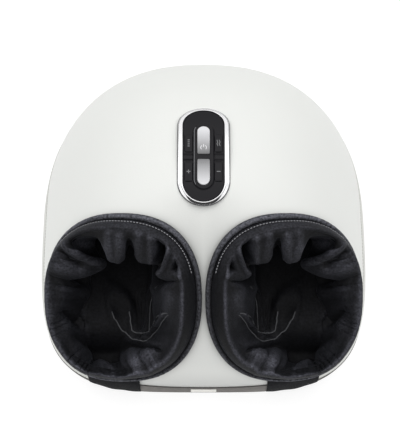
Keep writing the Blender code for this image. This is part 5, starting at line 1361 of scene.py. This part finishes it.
def make_tab(looks, mouth, side, mirror):
    """The tab that pulls the cuff down over the front wall: a sheet down the wall, then a sheet under the base."""
    edge = mouth.at(np.full(len(mouth.turn), TAB_INSET), TAB_START_RISE)
    edge = edge[(edge[:, 2] < 0.12) & (edge[:, 1] < -0.1)]
    edge = edge[np.argsort(edge[:, 0])]
    x = np.linspace(*TAB_X, 49)
    top = edge[:, 2][np.argmin(np.abs(edge[:, 0][:, None] - x), axis=0)]
    top = np.convolve(np.pad(top, 4, mode="edge"), np.ones(9) / 9, mode="valid")
    share = np.linspace(0, 1, 26)[:, None]
    z = top * (1 - share) + TAB_LOW_Z * share
    wall = front_wall(np.broadcast_to(x, z.shape), z)
    ripple = TAB_RIPPLE[0] * np.sin(x * TAB_RIPPLE[1]) * share
    wave = TAB_WAVE[0] * np.sin(x * TAB_WAVE[1] + share * TAB_WAVE[2])
    rise = TAB_RISES[0] * (1 - share) + TAB_RISES[1] + (ripple + wave) * TAB_RIPPLE_SHARE
    wall = wall + skin_normal(wall) * rise[..., None]
    tuck = np.linspace(0, 1, 12)[1:, None]
    back = wall[-1][:, 1] + TAB_TUCK_ROUND[0] * (1 - np.cos(tuck * TAB_TUCK_ROUND[1])) + TAB_TUCK * tuck
    fall = TAB_LOW_Z - TAB_TUCK_DROP * np.sin(np.minimum(tuck * 5, 1) * math.pi / 2)
    under = np.stack(np.broadcast_arrays(x, back, np.maximum(fall, TAB_TUCK_LOW_Z)), axis=-1)
    mesh = lay(np.concatenate([wall, under]) * mirror, closed=(False, False))
    if mirror[0] > 0:
        mesh.flip_normals()
    tab = piece(f"{side}_cuff_tab", mesh, looks["tab_cloth"], slot="black_cloth", nodes=[f"{side}_cuff_flap"])
    thicken(tab, TAB_THICKNESS)


# ---------------------------------------------------------------- panel and keys


def bend(x, along, rise):
    """Flat panel places on the panel's curve: across, along it, and out from it."""
    angle = along / PANEL_CURVE
    radius = PANEL_CURVE + rise
    parts = (x, PANEL_Y + radius * np.sin(angle), PANEL_TOP_Z - PANEL_CURVE + radius * np.cos(angle))
    return np.stack(np.broadcast_arrays(*parts), axis=-1)


def on_panel(flat, middle, rise):
    """Flat places round a middle, brought onto the panel's curve."""
    return bend(flat[..., 0] + middle[0], flat[..., 1] + middle[1], rise)


def pill(width, length, count):
    """Points round a pill outline and their outward directions: two half circles joined by straight sides."""
    radius, reach = width / 2, (length - width) / 2
    total = math.tau * radius + 4 * reach
    s = np.arange(count) / count * total
    quarter = math.pi * radius
    corners = np.array([0, quarter, quarter + 2 * reach, 2 * quarter + 2 * reach, total])
    turn = np.interp(s, corners, [0, math.pi, math.pi, math.tau, math.tau])
    shift = np.interp(s, corners, [reach, reach, -reach, -reach, reach])
    out = np.column_stack([np.cos(turn), np.sin(turn)])
    return out * radius + np.column_stack([np.zeros(count), shift]), out


def key_outline(width, length, low_round, high_round):
    """Points round a key, with a full round or a small one at each end, and their outward directions."""
    half, reach = width / 2, length / 2
    points, outs = [], []
    for end, is_round in ((1, high_round), (-1, low_round)):
        radius = half if is_round else half / 4
        for sign in (end, -end):
            turns = np.linspace(0, math.pi / 2, CORNER_POINTS)
            turns = turns if sign == end else math.pi / 2 - turns
            out = np.column_stack([np.cos(turns) * sign, np.sin(turns) * end])
            middle = np.array([sign * (half - radius), end * (reach - radius)])
            points.append(middle + out * radius)
            outs.append(out)
    return np.concatenate(points), np.concatenate(outs)


def key_top(outline, out, middle, proud, dish):
    """Rings of a key: straight walls, a small rounded edge, then shrinking copies that dish or crown its top."""
    rings = [on_panel(outline, middle, rise) for rise in (KEY_FOOT, proud - KEY_ROUND)]
    for turn in np.linspace(0.25, 1, 4) * math.pi / 2:
        inner = outline - out * KEY_ROUND * (1 - math.cos(turn))
        rings.append(on_panel(inner, middle, proud - KEY_ROUND * (1 - math.sin(turn))))
    for share in np.linspace(0.9, 0.0, 9):
        inner = (outline - out * KEY_ROUND) * max(share, 0.001)
        rings.append(on_panel(inner, middle, proud + dish * (1 - share**2)))
    return np.array(rings)


def keys():
    """Each key: name, middle, size, height, which ends are round, and its finish."""
    split = ISLAND_MIDDLE - KEY_SPLIT_DROP
    low_end = ISLAND_MIDDLE - ISLAND_LENGTH / 2 + SILVER_TRIM
    high_end = ISLAND_MIDDLE + ISLAND_LENGTH / 2 - SILVER_TRIM
    for name, low, high, ends in (
        ("power", split + SILVER_SPLIT / 2, high_end, (False, True)),
        ("timer", low_end, split - SILVER_SPLIT / 2, (True, False)),
    ):
        yield name, (0.0, (low + high) / 2), (SILVER_WIDTH, high - low), SILVER_PROUD, ends, "silver_key"
    for name, sign_x, sign_y in (("mode", -1, 1), ("heat", 1, 1), ("high", -1, -1), ("low", 1, -1)):
        middle = (sign_x * SIDE_X, split + sign_y * SIDE_SHIFT)
        yield name, middle, SIDE_SIZE, SIDE_PROUD, (False, False), "key_black"


def rounded_distance(x, y, half_x, half_y, radius):
    """Signed distance to a rounded rectangle."""
    dx, dy = np.abs(x) - half_x + radius, np.abs(y) - half_y + radius
    return np.hypot(np.maximum(dx, 0), np.maximum(dy, 0)) + np.minimum(np.maximum(dx, dy), 0) - radius


def make_face(looks):
    """The black face: pill rings shrinking to its middle line, raised at the island and sunk round each key."""
    outline, out = pill(FACE_WIDTH, FACE_LENGTH, 600)
    insets = np.concatenate([FACE_INSETS, np.linspace(FACE_INNER, FACE_WIDTH / 2, 92)])
    flat = outline - out * np.minimum(insets, FACE_WIDTH / 2 - 1e-5)[:, None, None]
    x, along = flat[..., 0], flat[..., 1] + PANEL_MIDDLE
    rise = np.zeros(x.shape)
    rise[: len(FACE_RISES)] = np.array(FACE_RISES)[:, None]
    island = pill_distance(x, along, ISLAND_MIDDLE, ISLAND_WIDTH, ISLAND_LENGTH)
    rise += ISLAND_RISE * (1 - smoothstep(*ISLAND_ROUND, island))
    rise -= MOAT_DEPTH * (1 - smoothstep(0, MOAT_WIDTH, np.abs(island - MOAT_SHIFT)))
    for _, (mx, my), (width, length), _, ends, _ in keys():
        corner = width / 2.2 if any(ends) else width / 4
        gap = rounded_distance(x - mx, along - my, width / 2, length / 2, corner)
        if any(ends):
            shift = SILVER_SQUARE if ends[1] else -SILVER_SQUARE
            square = (width / 2, length / 2 - SILVER_SQUARE, SILVER_CORNER)
            gap = np.minimum(gap, rounded_distance(x - mx, along - my + shift, *square))
        depth = KEY_GAP_DEPTH + (rise > ISLAND_RISE / 2) * KEY_GAP_MORE
        rise -= depth * (1 - smoothstep(*KEY_GAP, gap))
    # A bar crosses the side keys' gap on each side of the island, between two thin grooves.
    bar = np.abs(along - ISLAND_MIDDLE + KEY_SPLIT_DROP)
    beside = (np.abs(x) > ISLAND_WIDTH / 2 + MOAT_SHIFT) & (np.abs(x) < FACE_WIDTH / 2 - 0.001)
    rise -= BAR_DEPTH * beside * (1 - smoothstep(*BAR_EDGE, np.abs(bar - BAR_SHIFT)))
    mesh = tidy(lay(bend(x, along, rise)), 2e-5)
    piece("face_plate", mesh, looks["face_black"], slot="gloss_black", nodes=["panel_face"])

    # A painted highlight along the island's left edge: a light line that fades round both its ends.
    radius, reach = ISLAND_WIDTH / 2 - ISLAND_EDGE_INSET, (ISLAND_LENGTH - ISLAND_WIDTH) / 2
    upper = curve_line(radius, 145, 180, (0, reach))
    lower = curve_line(radius, 180, 215, (0, -reach))
    line = np.concatenate([upper, straight(upper[-1], lower[0], 60)[1:-1], lower])
    edge = ribbon(line, ISLAND_EDGE_WIDTH, (0, ISLAND_MIDDLE), ISLAND_RISE)
    piece("island_edge_highlight", edge, looks["print_dark"], slot="gloss_black", smooth=False)


def make_bezel(looks):
    """The chrome ring: a rounded section carried round the face's outline, with a tall wall into the dome.

    A gasket runs round it. Its end that faces the wearer is stepped, and a dark strip lies in the step.
    """
    outline, out = pill(FACE_WIDTH + BEZEL_GAP * 2, FACE_LENGTH + BEZEL_GAP * 2, 420)
    width = BEZEL_SIDE - BEZEL_GAP + (BEZEL_END - BEZEL_SIDE) * out[:, 1] ** 2
    facing = smoothstep(*BEZEL_FACING, -out[:, 1])
    taper = smoothstep(*BEZEL_TAPER, -out[:, 1])

    def carried(section):
        """A section carried round the outline and closed: its shares of the width and rises may vary on the way."""
        middle = (0, PANEL_MIDDLE)
        rings = [on_panel(outline + out * (width * share)[:, None], middle, rise) for share, rise in section]
        return lay(np.array(rings), closed=(True, True))

    section = [(0.0, -0.0030), (0.0, BEZEL_SHOULDER)]
    section += [(0.10 * (1 - math.cos(a)), BEZEL_SHOULDER + 0.0008 * math.sin(a)) for a in arc(6, 12, 90)]
    shares = np.linspace(0.12, BEZEL_SHARE, 34)
    round_off = BEZEL_CREST - 0.0018 * (1 - np.sqrt(1 - np.clip((shares - 0.58) / 0.32, 0, 1) ** 2))
    stepped = BEZEL_CREST - 0.0021 * smoothstep(0.22, 0.36, shares) - 0.0010 * smoothstep(0.80, 0.90, shares)
    section += [(share, rise + facing * (low - rise)) for share, rise, low in zip(shares, round_off, stepped)]
    section += BEZEL_WALL
    inlay = [
        (INLAY_START + share * taper, facing * (INLAY_RISE - sink) + (1 - facing) * INLAY_SUNK)
        for share, sink in INLAY_SECTION
    ]
    piece("bezel_gasket", tidy(carried(GASKET_SECTION)), looks["gasket"], slot="rubber")
    piece("bezel_inlay", tidy(carried(inlay), 1e-7), looks["rubber"], slot="rubber")
    piece("bezel_chrome", tidy(carried(section)), looks["chrome"], slot="chrome", nodes=["bezel_ring"])


def ribbon(line, width, middle, rise):
    """A thin printed line on the bent panel: a flat strip of even width with a closed underside."""
    line = np.array(line, float)
    ahead = unit(np.gradient(line, axis=0))
    side = np.column_stack([-ahead[:, 1], ahead[:, 0]]) * width / 2
    corners = ((1, 0), (1, PRINT_THICKNESS), (-1, PRINT_THICKNESS), (-1, 0))
    loops = [on_panel(line + side * edge, middle, rise + lift) for edge, lift in corners]
    mesh = lay(np.array(loops).transpose(1, 0, 2))
    bm = bmesh.new()
    bm.from_mesh(mesh)
    bm.verts.ensure_lookup_table()
    bm.faces.new([bm.verts[i] for i in range(4)])
    bm.faces.new([bm.verts[len(bm.verts) - 4 + i] for i in range(4)])
    bmesh.ops.recalc_face_normals(bm, faces=bm.faces)
    bm.to_mesh(mesh)
    bm.free()
    return mesh


def curve_line(radius, start, end, middle=(0, 0), count=24):
    """Points along an arc, from one angle in degrees to another."""
    turns = np.radians(np.linspace(start, end, count))
    return np.column_stack([middle[0] + radius * np.cos(turns), middle[1] + radius * np.sin(turns)])


def straight(a, b, count=6):
    """Points along a straight line."""
    share = np.linspace(0, 1, count)[:, None]
    return np.array(a) * (1 - share) + np.array(b) * share


def icons():
    """Plain marks in place of the keys' words: which key, lines from its middle, line width, and finish."""
    low = -0.0110
    ring = curve_line(0.0034, -235, 55, (0, low), 30)
    yield "power", [ring, straight((0, low + 0.0006), (0, low + 0.0046))], 0.0008, "print_white"
    ticks = [straight((x, 0.0105), (x, 0.0131)) for x in (-0.0026, 0.0, 0.0026)]
    yield "timer", ticks, 0.0011, "print_dark"
    bars = [straight((-0.0012, y), (0.0012, y)) for y in (-0.0042, -0.0014, 0.0014, 0.0042)]
    yield "mode", bars, 0.0009, "print_grey"
    sweep = np.linspace(-1, 1, 28)
    waves = [np.column_stack([x + 0.0005 * np.sin(sweep * 5.2), sweep * 0.0042]) for x in (-0.0013, 0.0013)]
    yield "heat", waves, 0.0006, "print_grey"
    dash, stem = straight((-0.0022, 0), (0.0022, 0)), straight((0, -0.0022), (0, 0.0022))
    yield "high", [dash, stem], 0.0008, "print_grey"
    yield "low", [dash], 0.0008, "print_grey"


def make_keys(looks):
    """The keys' caps, each on its key's body, and their marks, which ride with them."""
    tops = {}
    for name, middle, size, proud, ends, look in keys():
        outline, out = key_outline(*size, *ends)
        dish, slot = (SILVER_DISH, "silver_key") if look == "silver_key" else (BLACK_CROWN, "gloss_black")
        mesh = cap_ends(tidy(lay(key_top(outline, out, middle, proud, dish)), outward=False))
        cap = piece(f"{name}_cap", mesh, looks[look], body=f"{name}_button", slot=slot, nodes=[f"{name}_key"])
        cap.data.set_sharp_from_angle(angle=math.radians(50))
        tops[name] = (middle, proud + dish * 0.8)
    for name, lines, width, look in icons():
        mark = joined([ribbon(line, width, *tops[name]) for line in lines])
        slot = "silver_key" if look == "print_white" else "gloss_black"
        piece(f"{name}_mark", mark, looks[look], body=f"{name}_button", slot=slot, smooth=False)


# ---------------------------------------------------------------- the rest


CAD_LOOKS = {
    "base_shell": "tub_plastic", "panel_cup": "dark_plastic", "gear_deck": "dark_plastic",
    "gearbox_housing": "dark_plastic", "air_pump": "dark_plastic", "power_inlet": "dark_plastic",
    "foot_tray": "dark_plastic", "chamber_shell": "dark_plastic", "drive_pinion": "gear_plastic",
    "gear": "gear_plastic", "head": "head_plastic", "motor_can": "steel", "screw": "steel", "foot": "rubber",
    "air_hose": "rubber", "panel_cable": "rubber", "board": "board_green", "airbag": "bladder",
    "heater_film": "heater_film",
}
# Lamps: place, size, power in watts, and for those at the sides, which way they lean towards the body.
LAMPS = {
    "top_light": ((0.0, 0.70, 2.35), (2.6, 1.6), 8.9, 0.0),
    "front_light": ((0.0, -1.2, 2.4), (1.2, 1.0), 1.2, 0.0),
    "left_light": ((-1.6, 0.30, 1.60), (1.3, 1.1), 5.2, -1.0),
    "right_light": ((1.6, 0.30, 1.60), (1.3, 1.1), 5.2, 1.0),
}
FLOOR_COLOUR, FLOOR_GLOW = (0.30, 0.30, 0.30, 1), 0.82
# Sky: position by height, and colour, at its rim and overhead, and its strength.
SKY, SKY_STRENGTH = ((0.14, (0.08, 0.08, 0.083, 1)), (0.60, (1, 1, 1, 1))), 0.97


def dress_cad_nodes(looks):
    """Gives each CAD node that still shows its finish, by the longest ending of its name that the table holds."""
    for name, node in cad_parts.items():
        endings = [ending for ending in CAD_LOOKS if name.endswith(ending)]
        if not endings:
            continue
        look = looks[CAD_LOOKS[max(endings, key=len)]]
        for slot in node.material_slots:
            slot.material = look


def set_stage():
    """A pale floor that glows, the lamps, and a sky that darkens to its rim."""
    bpy.ops.mesh.primitive_plane_add(size=12, location=(0, 0, -0.0002))
    floor = bpy.context.object
    floor.name = "floor"
    white = bpy.data.materials.new("floor_white")
    white.use_nodes = True
    inputs = white.node_tree.nodes["Principled BSDF"].inputs
    inputs["Base Color"].default_value = FLOOR_COLOUR
    inputs["Roughness"].default_value = 0.9
    inputs["Specular IOR Level"].default_value = 0.0
    inputs["Emission Color"].default_value = (1, 1, 1, 1)
    inputs["Emission Strength"].default_value = FLOOR_GLOW
    floor.data.materials.append(white)
    for name, (place, size, power, lean) in LAMPS.items():
        data = bpy.data.lights.new(name, "AREA")
        data.shape = "RECTANGLE"
        data.size, data.size_y = size
        data.energy = power
        lamp = bpy.data.objects.new(name, data)
        bpy.context.scene.collection.objects.link(lamp)
        lamp.location = place
        drop = place[2] - LOOK_Z
        sideways = (0, math.atan2(abs(place[0]), drop) * lean, 0)
        lamp.rotation_euler = sideways if lean else (math.atan2(-place[1], drop), 0, 0)
    world = bpy.data.worlds.new("soft_sky")
    bpy.context.scene.world = world
    world.use_nodes = True
    tree = world.node_tree
    place = add(tree, "ShaderNodeTexCoord").outputs["Generated"]
    height = add(tree, "ShaderNodeSeparateXYZ", Vector=place).outputs["Z"]
    ramp = add(tree, "ShaderNodeValToRGB", Fac=height)
    for stop, (position, colour) in zip(ramp.color_ramp.elements, SKY):
        stop.color = colour
        stop.position = position
    tree.links.new(ramp.outputs["Color"], tree.nodes["Background"].inputs["Color"])
    tree.nodes["Background"].inputs["Strength"].default_value = SKY_STRENGTH
    bpy.context.scene.view_settings.view_transform = "Standard"


def main():
    set_camera()
    make_groups()
    looks = make_finishes()
    mouth = Mouth()
    make_body(looks, mouth)
    make_cuffs(looks, mouth)
    make_lining(looks, mouth)
    make_face(looks)
    make_bezel(looks)
    make_keys(looks)
    dress_cad_nodes(looks)
    set_stage()


main()
